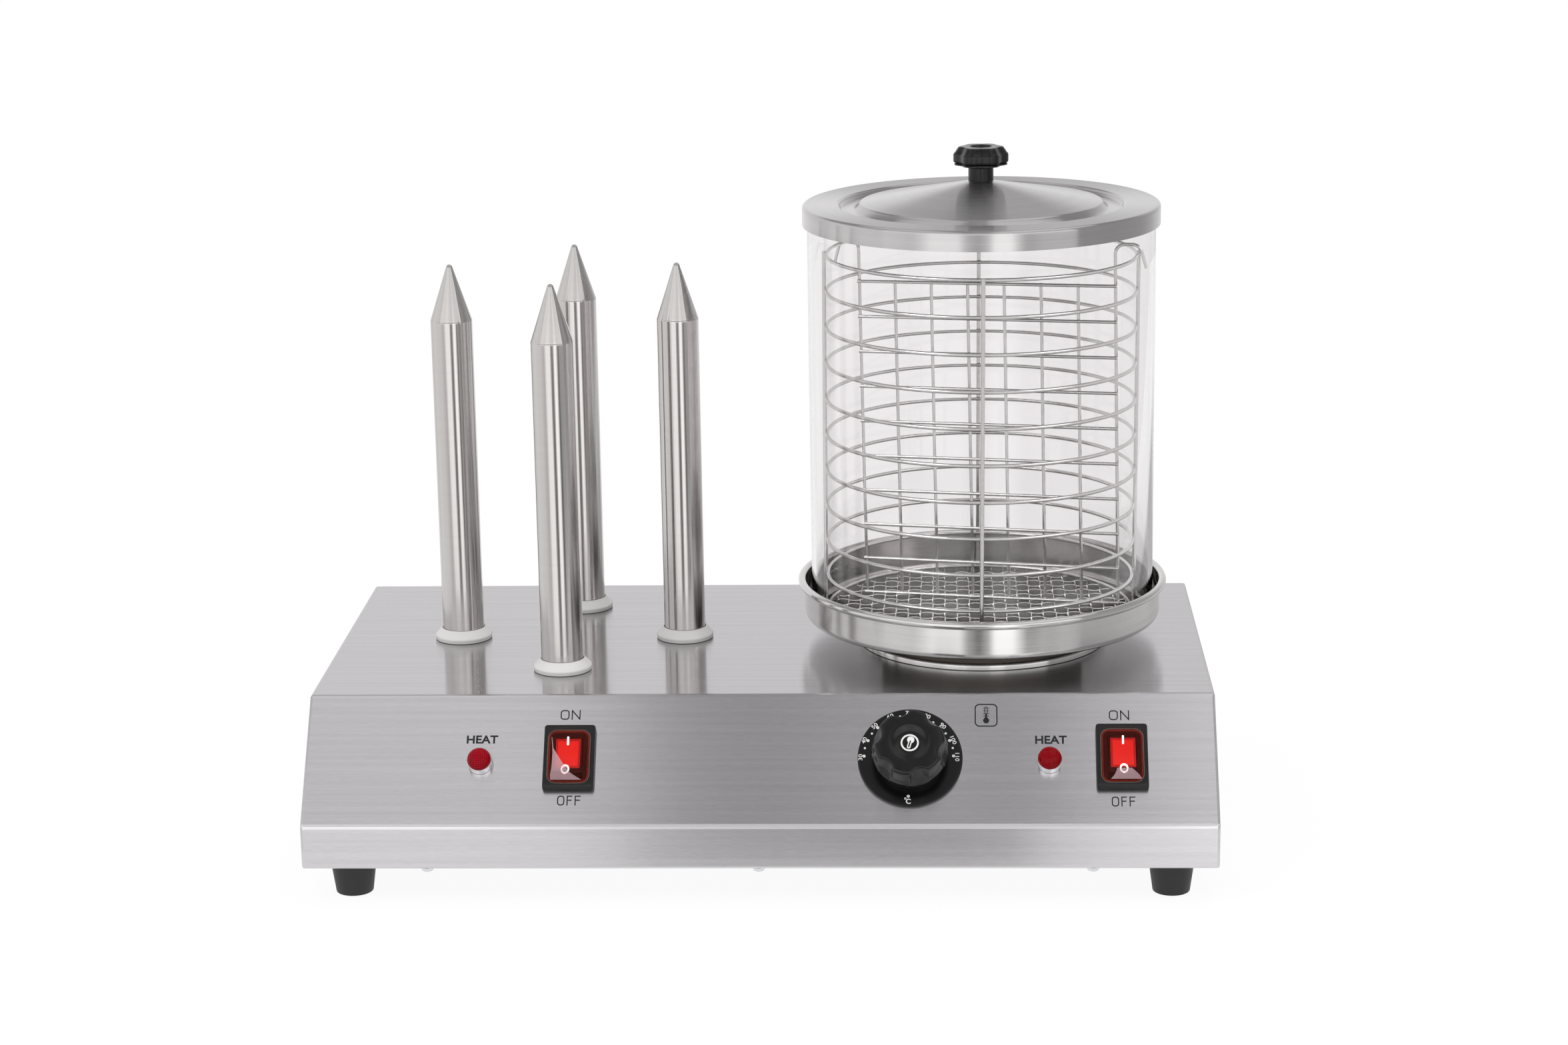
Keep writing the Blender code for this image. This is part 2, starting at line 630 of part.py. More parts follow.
def make_spikes():
    spike = [(0, SPIKE_HEIGHT), (SPIKE_TIP_RADIUS - SPIKE_TIP_ROUND / 2, SPIKE_HEIGHT),
             (SPIKE_TIP_RADIUS, SPIKE_HEIGHT - SPIKE_TIP_ROUND),
             (SPIKE_RADIUS - SPIKE_STEP, SPIKE_SHOULDER_HEIGHT + SPIKE_STEP),
             (SPIKE_RADIUS, SPIKE_SHOULDER_HEIGHT), (SPIKE_RADIUS, -SPIKE_TAIL),
             (SPIKE_BORE_RADIUS, -SPIKE_TAIL), (SPIKE_BORE_RADIUS, SPIKE_SHOULDER_HEIGHT - SPIKE_WALL),
             (0, SPIKE_SHOULDER_HEIGHT - SPIKE_WALL)]
    bore = SPIKE_RADIUS + SEAT_GAP
    collar = [(bore, COLLAR_HEIGHT), (COLLAR_RADIUS, COLLAR_FLARE_HEIGHT), (COLLAR_FOOT_RADIUS, SEAT_GAP),
              (COLLAR_SPIGOT_RADIUS, SEAT_GAP), (COLLAR_SPIGOT_RADIUS, -SHEET), (bore, -SHEET)]
    heater_radius = SPIKE_BORE_RADIUS - SEAT_GAP
    heater = [(0, HEATER_LENGTH), (heater_radius, HEATER_LENGTH), (heater_radius, -SPIKE_TAIL),
              (0, -SPIKE_TAIL)]
    nut_top = -SHEET - SEAT_GAP
    nut = [(SPIKE_NUT_RADIUS, nut_top), (SPIKE_NUT_RADIUS, nut_top - SPIKE_NUT_HEIGHT),
           (bore, nut_top - SPIKE_NUT_HEIGHT), (bore, nut_top)]

    def hexagon(radius, height, angle):
        if radius < SPIKE_NUT_RADIUS:
            return radius
        sector = math.pi / 3
        return radius * math.cos(sector / 2) / math.cos(angle % sector - sector / 2)

    for name in SPIKE_PLACES:
        place = spike_place(name)
        add_object(f"spike_{name}", revolve(spike, SMALL_SIDES), "brushed_steel", place)
        add_object(f"spike_collar_{name}", revolve(collar, SMALL_SIDES), "white_silicone", place)
        add_object(f"spike_heater_{name}", revolve(heater, SCREW_SIDES), "heater_steel", place)
        add_object(f"spike_nut_{name}", revolve(nut, 3 * 6, hexagon), "galvanised_steel", place)


def make_hotplate():
    place = deck_place(STACK_X, STACK_Y)
    plate_top = TRAY_UNDERSIDE_HEIGHT - SEAT_GAP
    shoulder = TRIM_RING_HEIGHT + SEAT_GAP
    plate = [(0, plate_top), (HOTPLATE_RADIUS - HOTPLATE_EDGE, plate_top),
             (HOTPLATE_RADIUS, plate_top - HOTPLATE_EDGE), (HOTPLATE_RADIUS, shoulder),
             (HOTPLATE_SPIGOT_RADIUS, shoulder), (HOTPLATE_SPIGOT_RADIUS, -HOTPLATE_SPIGOT_DEPTH),
             (0, -HOTPLATE_SPIGOT_DEPTH)]
    add_object("hotplate", revolve(plate, MEDIUM_SIDES), "heater_steel", place)

    bore = HOTPLATE_SPIGOT_RADIUS + SEAT_GAP
    ring = [(bore, TRIM_RING_HEIGHT), (TRIM_RING_RADIUS - TRIM_RING_EDGE, TRIM_RING_HEIGHT),
            (TRIM_RING_RADIUS, TRIM_RING_HEIGHT - TRIM_RING_EDGE), (TRIM_RING_RADIUS, SEAT_GAP),
            (TRIM_LIP_RADIUS, SEAT_GAP), (TRIM_LIP_RADIUS, TRIM_RING_HEIGHT - TRIM_RING_SHEET),
            (bore + TRIM_RING_SHEET / 2, TRIM_RING_HEIGHT - TRIM_RING_SHEET),
            (bore + TRIM_RING_SHEET / 2, -SHEET), (bore, -SHEET)]
    add_object("hotplate_ring", revolve(ring, MEDIUM_SIDES), "polished_steel", place)

    depth = -HOTPLATE_SPIGOT_DEPTH - SEAT_GAP - ELEMENT_TUBE_RADIUS
    points = []
    for step in range(int(ELEMENT_TURNS * ELEMENT_POINTS_PER_TURN) + 1):
        turned = step / ELEMENT_POINTS_PER_TURN
        reach = ELEMENT_OUTER_RADIUS - ELEMENT_PITCH * turned
        angle = 2 * math.pi * turned
        points.append((reach * math.cos(angle), reach * math.sin(angle), depth))
    start = Vector(points[0])
    end = Vector(points[-1])
    leg = Vector((0, 0, -ELEMENT_LEG))
    points = [start + leg] + points + [end + leg]
    add_object("heating_element", tube(points, ELEMENT_TUBE_RADIUS, BAR_SIDES), "heater_steel", place)


def make_tray():
    skin = TRAY_WALL_RADIUS - TRAY_SHEET
    curl_centre = (skin + TRAY_CURL_RADIUS, TRAY_RIM_HEIGHT - TRAY_CURL_RADIUS)
    corner = (skin - TRAY_CORNER_RADIUS, TRAY_FLOOR_HEIGHT + TRAY_CORNER_RADIUS)
    path = [(0, TRAY_FLOOR_HEIGHT)]
    path += arc(corner, TRAY_CORNER_RADIUS, -math.pi / 2, math.pi / 2, 2)
    path += arc(curl_centre, TRAY_CURL_RADIUS, math.pi, -TRAY_CURL_SWEEP, TRAY_CURL_STEPS)
    shape = revolve(sheet_outline(path, TRAY_SHEET), LARGE_SIDES)
    add_object("water_tray", shape, "brushed_steel", deck_place(STACK_X, STACK_Y))


def make_basket():
    place = deck_place(STACK_X, STACK_Y)
    rings = bmesh.new()
    for number in range(RING_COUNT):
        height = TOP_RING_HEIGHT - number * RING_PITCH
        circle = []
        for step in range(RING_STEPS):
            angle = 2 * math.pi * step / RING_STEPS
            circle.append((RING_RADIUS * math.cos(angle), RING_RADIUS * math.sin(angle), height))
        tube(circle, RING_WIRE_RADIUS, WIRE_SIDES, closed=True, shape=rings)
    basket = add_object("basket", rings, "polished_steel", place)

    bars = bmesh.new()
    low = BOTTOM_RING_HEIGHT - RING_WIRE_RADIUS
    high = TOP_RING_HEIGHT + RING_WIRE_RADIUS
    for quarter in range(4):
        angle = quarter * math.pi / 2
        x, y = BAR_CIRCLE_RADIUS * math.cos(angle), BAR_CIRCLE_RADIUS * math.sin(angle)
        tube([(x, y, low), (x, y, high)], BAR_WIRE_RADIUS, BAR_SIDES, shape=bars)
    boolean(basket, add_cutter("basket_bars", bars, place), "UNION")


def make_basket_floor():
    """Net of flat wires with a rim: wires are strips of one plate, so that crossings are welded."""
    place = deck_place(STACK_X, STACK_Y)
    outline = arc((0, 0), MESH_RADIUS, 0, 2 * math.pi, LARGE_SIDES)[:-1]
    plate = prism(outline, MESH_BOTTOM_HEIGHT, MESH_TOP_HEIGHT, lambda x, y, z: Vector((x, y, z)))
    floor = add_object("basket_floor_mesh", plate, "polished_steel", place)

    gaps = bmesh.new()
    low, high = MESH_BOTTOM_HEIGHT - CUT_OVERRUN, MESH_TOP_HEIGHT + CUT_OVERRUN
    reach = MESH_RADIUS * math.cos(math.pi / LARGE_SIDES) - MESH_RIM_WIDTH
    half_x = (MESH_PITCH_X - MESH_WIRE_WIDTH) / 2
    half_y = (MESH_PITCH_Y - MESH_WIRE_WIDTH) / 2
    columns = int(reach // MESH_PITCH_X) + 1
    rows = int(reach // MESH_PITCH_Y) + 1
    for column in range(-columns, columns + 1):
        for row in range(-rows, rows + 1):
            x, y = column * MESH_PITCH_X, row * MESH_PITCH_Y
            far_x = max(abs(x - half_x), abs(x + half_x))
            near_y = max(abs(y) - half_y, 0)
            if math.hypot(far_x, near_y) >= reach:
                continue
            room = math.sqrt(reach ** 2 - far_x ** 2)
            y_low, y_high = max(y - half_y, -room), min(y + half_y, room)
            if y_high - y_low > MESH_WIRE_WIDTH:
                block((x - half_x, y_low, low), (x + half_x, y_high, high), gaps)
    boolean(floor, add_cutter("basket_floor_gaps", gaps, place))


def divider_top_row_height():
    """Height of the top row that lets the hooks hang on the top ring."""
    hook_middle = TOP_RING_HEIGHT + RING_WIRE_RADIUS + HOOK_SEAT_ALLOWANCE + SEAT_GAP + DIVIDER_WIRE_RADIUS
    return hook_middle - HOOK_RISE


def make_divider():
    top = divider_top_row_height()
    bottom = top - (DIVIDER_ROWS - 1) * DIVIDER_ROW_PITCH
    side = (DIVIDER_COLUMNS - 1) * DIVIDER_COLUMN_PITCH / 2
    uprights = bmesh.new()
    for column in range(1, DIVIDER_COLUMNS - 1):
        x = column * DIVIDER_COLUMN_PITCH - side
        ends = [(x, 0, bottom - DIVIDER_WIRE_RADIUS), (x, 0, top + DIVIDER_WIRE_RADIUS)]
        tube(ends, DIVIDER_WIRE_RADIUS, WIRE_SIDES, shape=uprights)
    for hand, span in ((-1, HOOK_SPAN_LEFT), (1, HOOK_SPAN_RIGHT)):
        path = [(hand * side, 0, bottom - DIVIDER_WIRE_RADIUS)]
        corner_z = top + HOOK_RISE - HOOK_CORNER_RADIUS
        near = (side + HOOK_CORNER_RADIUS, corner_z)
        far = (side + span - HOOK_CORNER_RADIUS, corner_z)
        bends = arc(near, HOOK_CORNER_RADIUS, math.pi, -math.pi / 2, HOOK_CORNER_STEPS)
        bends += arc(far, HOOK_CORNER_RADIUS, math.pi / 2, -math.pi / 2, HOOK_CORNER_STEPS)
        path += [(hand * x, 0, z) for x, z in bends]
        path.append((hand * (side + span), 0, top + HOOK_TIP_RISE))
        tube(path, DIVIDER_WIRE_RADIUS, WIRE_SIDES, shape=uprights)

    rails = bmesh.new()
    in_front = -2 * DIVIDER_WIRE_RADIUS + WELD_DEPTH
    for row in range(DIVIDER_ROWS):
        z = top - row * DIVIDER_ROW_PITCH
        ends = [(-side - DIVIDER_WIRE_RADIUS, in_front, z), (side + DIVIDER_WIRE_RADIUS, in_front, z)]
        tube(ends, DIVIDER_WIRE_RADIUS, WIRE_SIDES, shape=rails)

    place = deck_place(STACK_X + DIVIDER_OFFSET_X, STACK_Y + DIVIDER_OFFSET_Y)
    place = place @ Matrix.Rotation(DIVIDER_TURN, 4, "Z")
    divider = add_object("divider", uprights, "polished_steel", place)
    boolean(divider, add_cutter("divider_rails", rails, place), "UNION")


def make_glass():
    inner = GLASS_RADIUS - GLASS_WALL
    outline = [(GLASS_RADIUS, GLASS_TOP_HEIGHT - GLASS_EDGE), (GLASS_RADIUS, GLASS_FOOT_HEIGHT),
               (inner, GLASS_FOOT_HEIGHT), (inner, GLASS_TOP_HEIGHT),
               (GLASS_RADIUS - GLASS_EDGE, GLASS_TOP_HEIGHT)]
    add_object("glass_cylinder", revolve(outline, LARGE_SIDES), "clear_glass", deck_place(STACK_X, STACK_Y))


def make_lid():
    rim = LID_RADIUS - LID_EDGE_RADIUS
    path = [(LID_SCREW_RADIUS + SEAT_GAP, LID_CONE_HEIGHT), (LID_SEAT_RADIUS, LID_CONE_HEIGHT),
            (LID_CONE_BASE_RADIUS, LID_CONE_BASE_HEIGHT),
            (LID_GROOVE_INNER_RADIUS, -LID_CONE_BASE_HEIGHT),
            (LID_GROOVE_INNER_RADIUS + LID_GROOVE_SLANT, -LID_GROOVE_DEPTH),
            (LID_GROOVE_OUTER_RADIUS - LID_GROOVE_SLANT, -LID_GROOVE_DEPTH),
            (LID_GROOVE_OUTER_RADIUS, 0), (rim, 0), (LID_RADIUS, -LID_EDGE_RADIUS),
            (LID_RADIUS, -LID_RIM_DEPTH)]
    place = deck_place(STACK_X, STACK_Y, LID_TOP_HEIGHT)
    add_object("lid", revolve(sheet_outline(path, LID_SHEET), LARGE_SIDES), "brushed_steel", place)

    low = LID_CONE_HEIGHT + SEAT_GAP
    head_low = low + LID_KNOB_NECK_HEIGHT
    head_top = head_low + LID_KNOB_HEAD_HEIGHT
    bore = LID_SCREW_RADIUS + SEAT_GAP
    bore_top = low + LID_SCREW_LENGTH
    knob = [(0, head_top - LID_KNOB_WELL_DEPTH), (LID_KNOB_WELL_RADIUS, head_top - LID_KNOB_WELL_DEPTH),
            (LID_KNOB_WELL_RADIUS, head_top), (LID_KNOB_RADIUS - 2 * LID_KNOB_EDGE, head_top - LID_KNOB_EDGE / 2),
            (LID_KNOB_RADIUS, head_top - 2 * LID_KNOB_EDGE), (LID_KNOB_RADIUS, head_low + LID_KNOB_EDGE),
            (LID_KNOB_RADIUS - LID_KNOB_EDGE, head_low), (LID_KNOB_NECK_RADIUS, head_low - LID_KNOB_EDGE / 2),
            (LID_KNOB_NECK_RADIUS, low), (bore, low), (bore, bore_top), (0, bore_top)]

    def lobes(radius, height, angle):
        if radius <= LID_KNOB_NECK_RADIUS:
            return radius
        return radius - LID_KNOB_LOBE_DEPTH * (1 - math.cos(LID_KNOB_LOBES * angle)) / 2

    add_object("lid_knob", revolve(knob, SIDES_PER_LOBE * LID_KNOB_LOBES, lobes), "black_plastic", place)

    under = LID_CONE_HEIGHT - LID_SHEET - SEAT_GAP
    tip = bore_top - SEAT_GAP
    screw = [(0, tip), (LID_SCREW_RADIUS, tip), (LID_SCREW_RADIUS, under), (LID_SCREW_HEAD_RADIUS, under),
             (LID_SCREW_HEAD_RADIUS * 0.8, under - LID_SCREW_HEAD_HEIGHT), (0, under - LID_SCREW_HEAD_HEIGHT)]
    add_object("lid_screw", revolve(screw, SCREW_SIDES), "galvanised_steel", place)


def make_thermostat():
    place = panel_place(DIAL_X, DIAL_UP)
    dial_low, dial_top = SEAT_GAP, SEAT_GAP + DIAL_THICKNESS
    bore = THERMOSTAT_NECK_RADIUS + SEAT_GAP
    dial = [(bore, dial_top), (DIAL_RADIUS - DIAL_EDGE, dial_top), (DIAL_RADIUS, dial_top - DIAL_EDGE),
            (DIAL_RADIUS, dial_low), (bore, dial_low)]
    add_object("dial_plate", revolve(dial, MEDIUM_SIDES), "black_plastic", place)

    knob_place = place @ Matrix.Translation(Vector((0, 0, dial_top + SEAT_GAP)))
    knob_place = knob_place @ Matrix.Rotation(KNOB_POINTER_ANGLE, 4, "Z")
    hole = SHAFT_RADIUS + SEAT_GAP
    wall_top = KNOB_RADIUS - KNOB_TAPER
    knob = [(0, KNOB_HEIGHT - KNOB_DISH_DEPTH), (KNOB_DISH_RADIUS, KNOB_HEIGHT - KNOB_DISH_DEPTH),
            (KNOB_LIP_RADIUS, KNOB_HEIGHT), (wall_top - KNOB_EDGE, KNOB_HEIGHT),
            (wall_top, KNOB_HEIGHT - KNOB_EDGE), (KNOB_RADIUS, KNOB_SKIRT_HEIGHT), (KNOB_RADIUS, 0),
            (hole, 0), (hole, SHAFT_LENGTH), (0, SHAFT_LENGTH)]

    def scallops(radius, height, angle):
        if radius < wall_top - 2 * KNOB_EDGE or height <= KNOB_SKIRT_HEIGHT:
            return radius
        lobe = math.cos(KNOB_SCALLOPS * angle)
        return radius - KNOB_SCALLOP_DEPTH * max(-lobe, 0) ** 0.5

    shape = revolve(knob, SIDES_PER_LOBE * KNOB_SCALLOPS, scallops)
    add_object("thermostat_knob", shape, "black_plastic", knob_place)

    back = -SHEET - SEAT_GAP
    shaft_top = dial_top + SEAT_GAP + SHAFT_LENGTH - SEAT_GAP
    neck_top = dial_top - SEAT_GAP
    body = [(0, shaft_top), (SHAFT_RADIUS, shaft_top), (SHAFT_RADIUS, neck_top), (THERMOSTAT_NECK_RADIUS, neck_top),
            (THERMOSTAT_NECK_RADIUS, back), (THERMOSTAT_RADIUS, back), (THERMOSTAT_RADIUS, back - THERMOSTAT_DEPTH),
            (0, back - THERMOSTAT_DEPTH)]
    add_object("thermostat_body", revolve(body, SMALL_SIDES), "galvanised_steel", place)

    exit_spot = place @ Vector((0, 0, back - THERMOSTAT_DEPTH - SEAT_GAP))
    leave = place.to_3x3() @ Vector((0, 0, -1))
    bulb_z = DECK_Z - HOTPLATE_SPIGOT_DEPTH - SEAT_GAP - BULB_RADIUS
    bulb_x = STACK_X - ELEMENT_OUTER_RADIUS - ELEMENT_TUBE_RADIUS - BULB_RADIUS
    first = exit_spot + leave * THERMOSTAT_NECK_RADIUS
    bulb_start = Vector((bulb_x, STACK_Y - BULB_LENGTH / 2, bulb_z))
    bend = Vector((bulb_x, bulb_start.y - BULB_LENGTH / 2, bulb_z - BULB_RADIUS))
    capillary = tube([exit_spot, first, (first + bend) / 2, bend, bulb_start], CAPILLARY_RADIUS, WIRE_SIDES)
    line = add_object("thermostat_capillary", capillary, "copper")
    ends = [bulb_start - Vector((0, CAPILLARY_RADIUS, 0)), bulb_start + Vector((0, BULB_LENGTH, 0))]
    boolean(line, add_cutter("thermostat_bulb", tube(ends, BULB_RADIUS, 8)), "UNION")


def make_switch(side, x):
    place = panel_place(x, SWITCH_UP)

    frame_low, frame_top = SEAT_GAP, SEAT_GAP + SWITCH_FRAME_RISE
    outline = rounded_rectangle(SWITCH_WIDTH, SWITCH_HEIGHT, SWITCH_CORNER, 2)
    shape = prism(outline, frame_low, frame_top, lambda a, b, out: Vector((a, b, out)))
    frame = add_object(f"switch_frame_{side}", shape, "black_plastic", place)
    half_x = SWITCH_WIDTH / 2 - SWITCH_BODY_MARGIN
    half_y = SWITCH_HEIGHT / 2 - SWITCH_BODY_MARGIN
    body = block((-half_x, -half_y, -SWITCH_BODY_DEPTH), (half_x, half_y, frame_top - SWITCH_CORNER))
    boolean(frame, add_cutter(f"switch_body_{side}", body, place), "UNION")
    half_x, half_y = SWITCH_POCKET_WIDTH / 2, SWITCH_POCKET_HEIGHT / 2
    pocket = block((-half_x, -half_y, frame_top - SWITCH_POCKET_DEPTH), (half_x, half_y, frame_top + CUT_OVERRUN))
    boolean(frame, add_cutter(f"switch_pocket_{side}", pocket, place))
    pivot_out = frame_top - ROCKER_PIVOT_DEPTH
    bore = ROCKER_PIN_RADIUS + ROCKER_PIN_CLEARANCE
    across = place @ Matrix.Translation(Vector((0, 0, pivot_out))) @ Matrix.Rotation(math.pi / 2, 4, "Y")
    reach = SWITCH_POCKET_WIDTH / 2 + ROCKER_PIN_RADIUS
    boolean(frame, add_cutter(f"switch_bearing_{side}", cylinder_cut(bore, -reach, reach, SCREW_SIDES), across))

    cover_low = frame_top + SEAT_GAP
    cover_top = cover_low + COVER_RISE
    cover = bmesh.new()
    rings = []
    for inset, out in ((0, cover_low), (0, cover_top - COVER_TOP_EDGE),
                       (COVER_TOP_EDGE * 0.3, cover_top - COVER_TOP_EDGE * 0.3), (COVER_TOP_EDGE, cover_top)):
        rings.append(rounded_outline(cover, inset, out))
    for inset, out in ((COVER_TOP_EDGE, cover_top - COVER_WALL), (COVER_WALL, cover_top - COVER_TOP_EDGE),
                       (COVER_WALL, cover_low)):
        rings.append(rounded_outline(cover, inset, out))
    for number, (ring, following) in enumerate(zip(rings, rings[1:] + rings[:1])):
        if number == 3:
            cover.faces.new(ring)
            cover.faces.new(following)
            continue
        for index in range(len(ring)):
            after = (index + 1) % len(ring)
            cover.faces.new((ring[index], ring[after], following[after], following[index]))
    add_object(f"splash_cover_{side}", cover, "clear_plastic", place)

    # At rest the upper end is pressed in, so the rocker is built level and then tipped about its pin.
    tilt = Matrix.Rotation(-ROCKER_THROW / 2, 4, "X")
    pivot = place @ Matrix.Translation(Vector((0, 0, pivot_out))) @ tilt
    half = ROCKER_LENGTH / 2
    top = ROCKER_PIVOT_DEPTH
    profile = [(half, top + ROCKER_END_RISE), (0, top), (-half, top + ROCKER_END_RISE),
               (-half * 0.9, -ROCKER_KEEL_DEPTH * 0.3), (0, -ROCKER_KEEL_DEPTH), (half * 0.9, -ROCKER_KEEL_DEPTH * 0.3)]
    shape = prism(profile, -ROCKER_WIDTH / 2, ROCKER_WIDTH / 2, lambda a, b, c: Vector((c, a, b)))
    rocker = add_object(f"rocker_{side}", shape, "red_plastic", pivot)
    pin = cylinder_cut(ROCKER_PIN_RADIUS, -reach + SEAT_GAP, reach - SEAT_GAP, SCREW_SIDES)
    boolean(rocker, add_cutter(f"rocker_pin_{side}", pin, pivot @ Matrix.Rotation(math.pi / 2, 4, "Y")), "UNION")


def rounded_outline(shape, inset, out):
    outline = rounded_rectangle(COVER_WIDTH - 2 * inset, COVER_HEIGHT - 2 * inset, COVER_CORNER - inset,
                                COVER_CORNER_STEPS)
    return [shape.verts.new((a, b, out)) for a, b in outline]


def make_lamp(side, x):
    place = panel_place(x, LAMP_UP)
    top = SEAT_GAP + LAMP_RISE
    seat = LENS_RADIUS + SEAT_GAP
    bezel = [(0, top - LENS_SEAT_DEPTH), (seat, top - LENS_SEAT_DEPTH), (seat, top), (LAMP_RADIUS - LAMP_EDGE, top),
             (LAMP_RADIUS, top - LAMP_EDGE), (LAMP_RADIUS, SEAT_GAP), (LAMP_BODY_RADIUS, SEAT_GAP),
             (LAMP_BODY_RADIUS, -LAMP_BODY_DEPTH), (0, -LAMP_BODY_DEPTH)]
    add_object(f"lamp_bezel_{side}", revolve(bezel, SMALL_SIDES), "chrome", place)
    low = top - LENS_SEAT_DEPTH + SEAT_GAP
    lens = [(0, top + LENS_DOME_HEIGHT), (LENS_RADIUS * 0.55, top + LENS_DOME_HEIGHT * 0.84),
            (LENS_RADIUS * 0.9, top + LENS_DOME_HEIGHT * 0.42), (LENS_RADIUS, top), (LENS_RADIUS, low), (0, low)]
    add_object(f"lamp_lens_{side}", revolve(lens, SMALL_SIDES), "red_plastic", place)


def make_cable_entry():
    place = Matrix.Translation(Vector((GLAND_X, BASE_DEPTH / 2, GLAND_Z))) @ Matrix.Rotation(-math.pi / 2, 4, "X")
    inside = -SHEET - SEAT_GAP
    face = SEAT_GAP + GLAND_FLANGE_LENGTH
    outline = [(GLAND_BORE_RADIUS, face), (GLAND_FLANGE_RADIUS - GLAND_EDGE, face),
               (GLAND_FLANGE_RADIUS, face - GLAND_EDGE), (GLAND_FLANGE_RADIUS, SEAT_GAP),
               (GLAND_BODY_RADIUS, SEAT_GAP), (GLAND_BODY_RADIUS, inside), (GLAND_FLANGE_RADIUS, inside),
               (GLAND_FLANGE_RADIUS, inside - GLAND_NUT_LENGTH), (GLAND_BORE_RADIUS, inside - GLAND_NUT_LENGTH)]
    add_object("cable_gland", revolve(outline, SMALL_SIDES), "black_plastic", place)

    low = PLATE_TOP_Z + SEAT_GAP
    half_depth = TERMINAL_DEPTH / 2
    half_length = TERMINAL_WAYS * TERMINAL_PITCH / 2
    floor = block((-half_length, -half_depth, 0), (half_length, half_depth, TERMINAL_BASE_HEIGHT))
    place = Matrix.Translation(Vector((TERMINAL_X, TERMINAL_Y, low)))
    terminal = add_object("terminal_block", floor, "natural_nylon", place)
    step = TERMINAL_STEP_WIDTH / 2
    profile = [(-half_depth, 0), (half_depth, 0), (half_depth, TERMINAL_STEP_HEIGHT), (step, TERMINAL_STEP_HEIGHT),
               (step, TERMINAL_HEIGHT), (-step, TERMINAL_HEIGHT), (-step, TERMINAL_STEP_HEIGHT),
               (-half_depth, TERMINAL_STEP_HEIGHT)]
    ways = bmesh.new()
    half_way = TERMINAL_PITCH / 2 - TERMINAL_BASE_HEIGHT / 4
    for way in range(TERMINAL_WAYS):
        x = (way - (TERMINAL_WAYS - 1) / 2) * TERMINAL_PITCH
        prism(profile, x - half_way, x + half_way, lambda y, z, along: Vector((along, y, z)), ways)
    boolean(terminal, add_cutter("terminal_ways", ways, place), "UNION")


def main():
    clear_scene()
    make_housing()
    make_bottom_plate()
    make_base_screws()
    make_feet()
    make_spikes()
    make_hotplate()
    make_tray()
    make_basket()
    make_basket_floor()
    make_divider()
    make_glass()
    make_lid()
    make_thermostat()
    make_switch("left", SWITCH_LEFT_X)
    make_switch("right", SWITCH_RIGHT_X)
    make_lamp("left", LAMP_LEFT_X)
    make_lamp("right", LAMP_RIGHT_X)
    make_cable_entry()


main()
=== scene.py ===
# %% [markdown]
# # Dressing a countertop hot dog steamer
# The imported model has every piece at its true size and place, but with plain surfaces and few
# facets. This lesson loads it, puts finer pieces over the plain ones, gives each its finish, and
# lights it like a product photograph. The loader comes first, because most later places and heights
# are read from its boxes instead of being typed again.

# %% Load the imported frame
import math

import bmesh
import bpy
from mathutils import Matrix, Vector


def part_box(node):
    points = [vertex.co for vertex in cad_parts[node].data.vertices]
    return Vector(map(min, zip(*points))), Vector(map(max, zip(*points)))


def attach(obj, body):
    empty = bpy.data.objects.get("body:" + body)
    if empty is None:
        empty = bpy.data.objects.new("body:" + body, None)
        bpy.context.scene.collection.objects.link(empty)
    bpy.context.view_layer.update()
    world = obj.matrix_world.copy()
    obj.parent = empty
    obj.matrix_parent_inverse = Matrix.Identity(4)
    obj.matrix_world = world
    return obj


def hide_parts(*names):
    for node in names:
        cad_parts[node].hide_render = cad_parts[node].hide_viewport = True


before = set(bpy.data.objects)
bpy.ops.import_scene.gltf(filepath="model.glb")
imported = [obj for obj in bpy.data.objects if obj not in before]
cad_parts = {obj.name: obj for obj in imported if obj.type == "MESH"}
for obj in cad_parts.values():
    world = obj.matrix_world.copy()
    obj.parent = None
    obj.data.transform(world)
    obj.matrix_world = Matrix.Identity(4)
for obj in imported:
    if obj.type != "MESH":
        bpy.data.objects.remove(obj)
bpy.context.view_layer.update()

MM = 0.001

# %% [markdown]
# ## Where things stand
# Most pieces stand on the deck or lie on the sloped panel. Small functions turn sizes that a maker
# would read off a drawing, such as "39 mm up the panel", into places in space. A place is a matrix,
# so the next piece can start from it and move along its own axes.

# %% Places on the deck and on the sloped panel
house_low, house_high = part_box("base_housing")
tray_low, tray_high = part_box("water_tray")
DECK = house_high.z
STACK = Vector(((tray_low.x + tray_high.x) / 2, (tray_low.y + tray_high.y) / 2, DECK))
SKIRT_TOP, PANEL_RISE, PANEL_RUN = 24.5, 59.5, 50
PANEL_FOOT = Vector((0, house_low.y, house_low.z + SKIRT_TOP * MM))
ORIGIN = Matrix.Identity(4)


def spun(degrees, axis="Z"):
    return Matrix.Rotation(math.radians(degrees), 4, axis)


def shifted(place, x=0.0, y=0.0, z=0.0):
    """The place, moved by millimetres along its own axes."""
    return place @ Matrix.Translation(Vector((x, y, z)) * MM)


def on_panel(x, up, out=0.0):
    """x along the panel, up its slope and out of it, all in millimetres."""
    lean = Matrix.Rotation(math.atan2(PANEL_RISE, PANEL_RUN), 4, "X")
    return shifted(Matrix.Translation(PANEL_FOOT) @ lean, x, up, out)


def on_deck(x=STACK.x, y=STACK.y, height=0.0):
    return Matrix.Translation(Vector((x, y, DECK + height * MM)))


def heights(node):
    """Lowest and highest point of a node, in millimetres above the deck."""
    return [(corner.z - DECK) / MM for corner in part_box(node)]


print("deck at", round(DECK, 4), "stack on", [round(v, 4) for v in STACK])

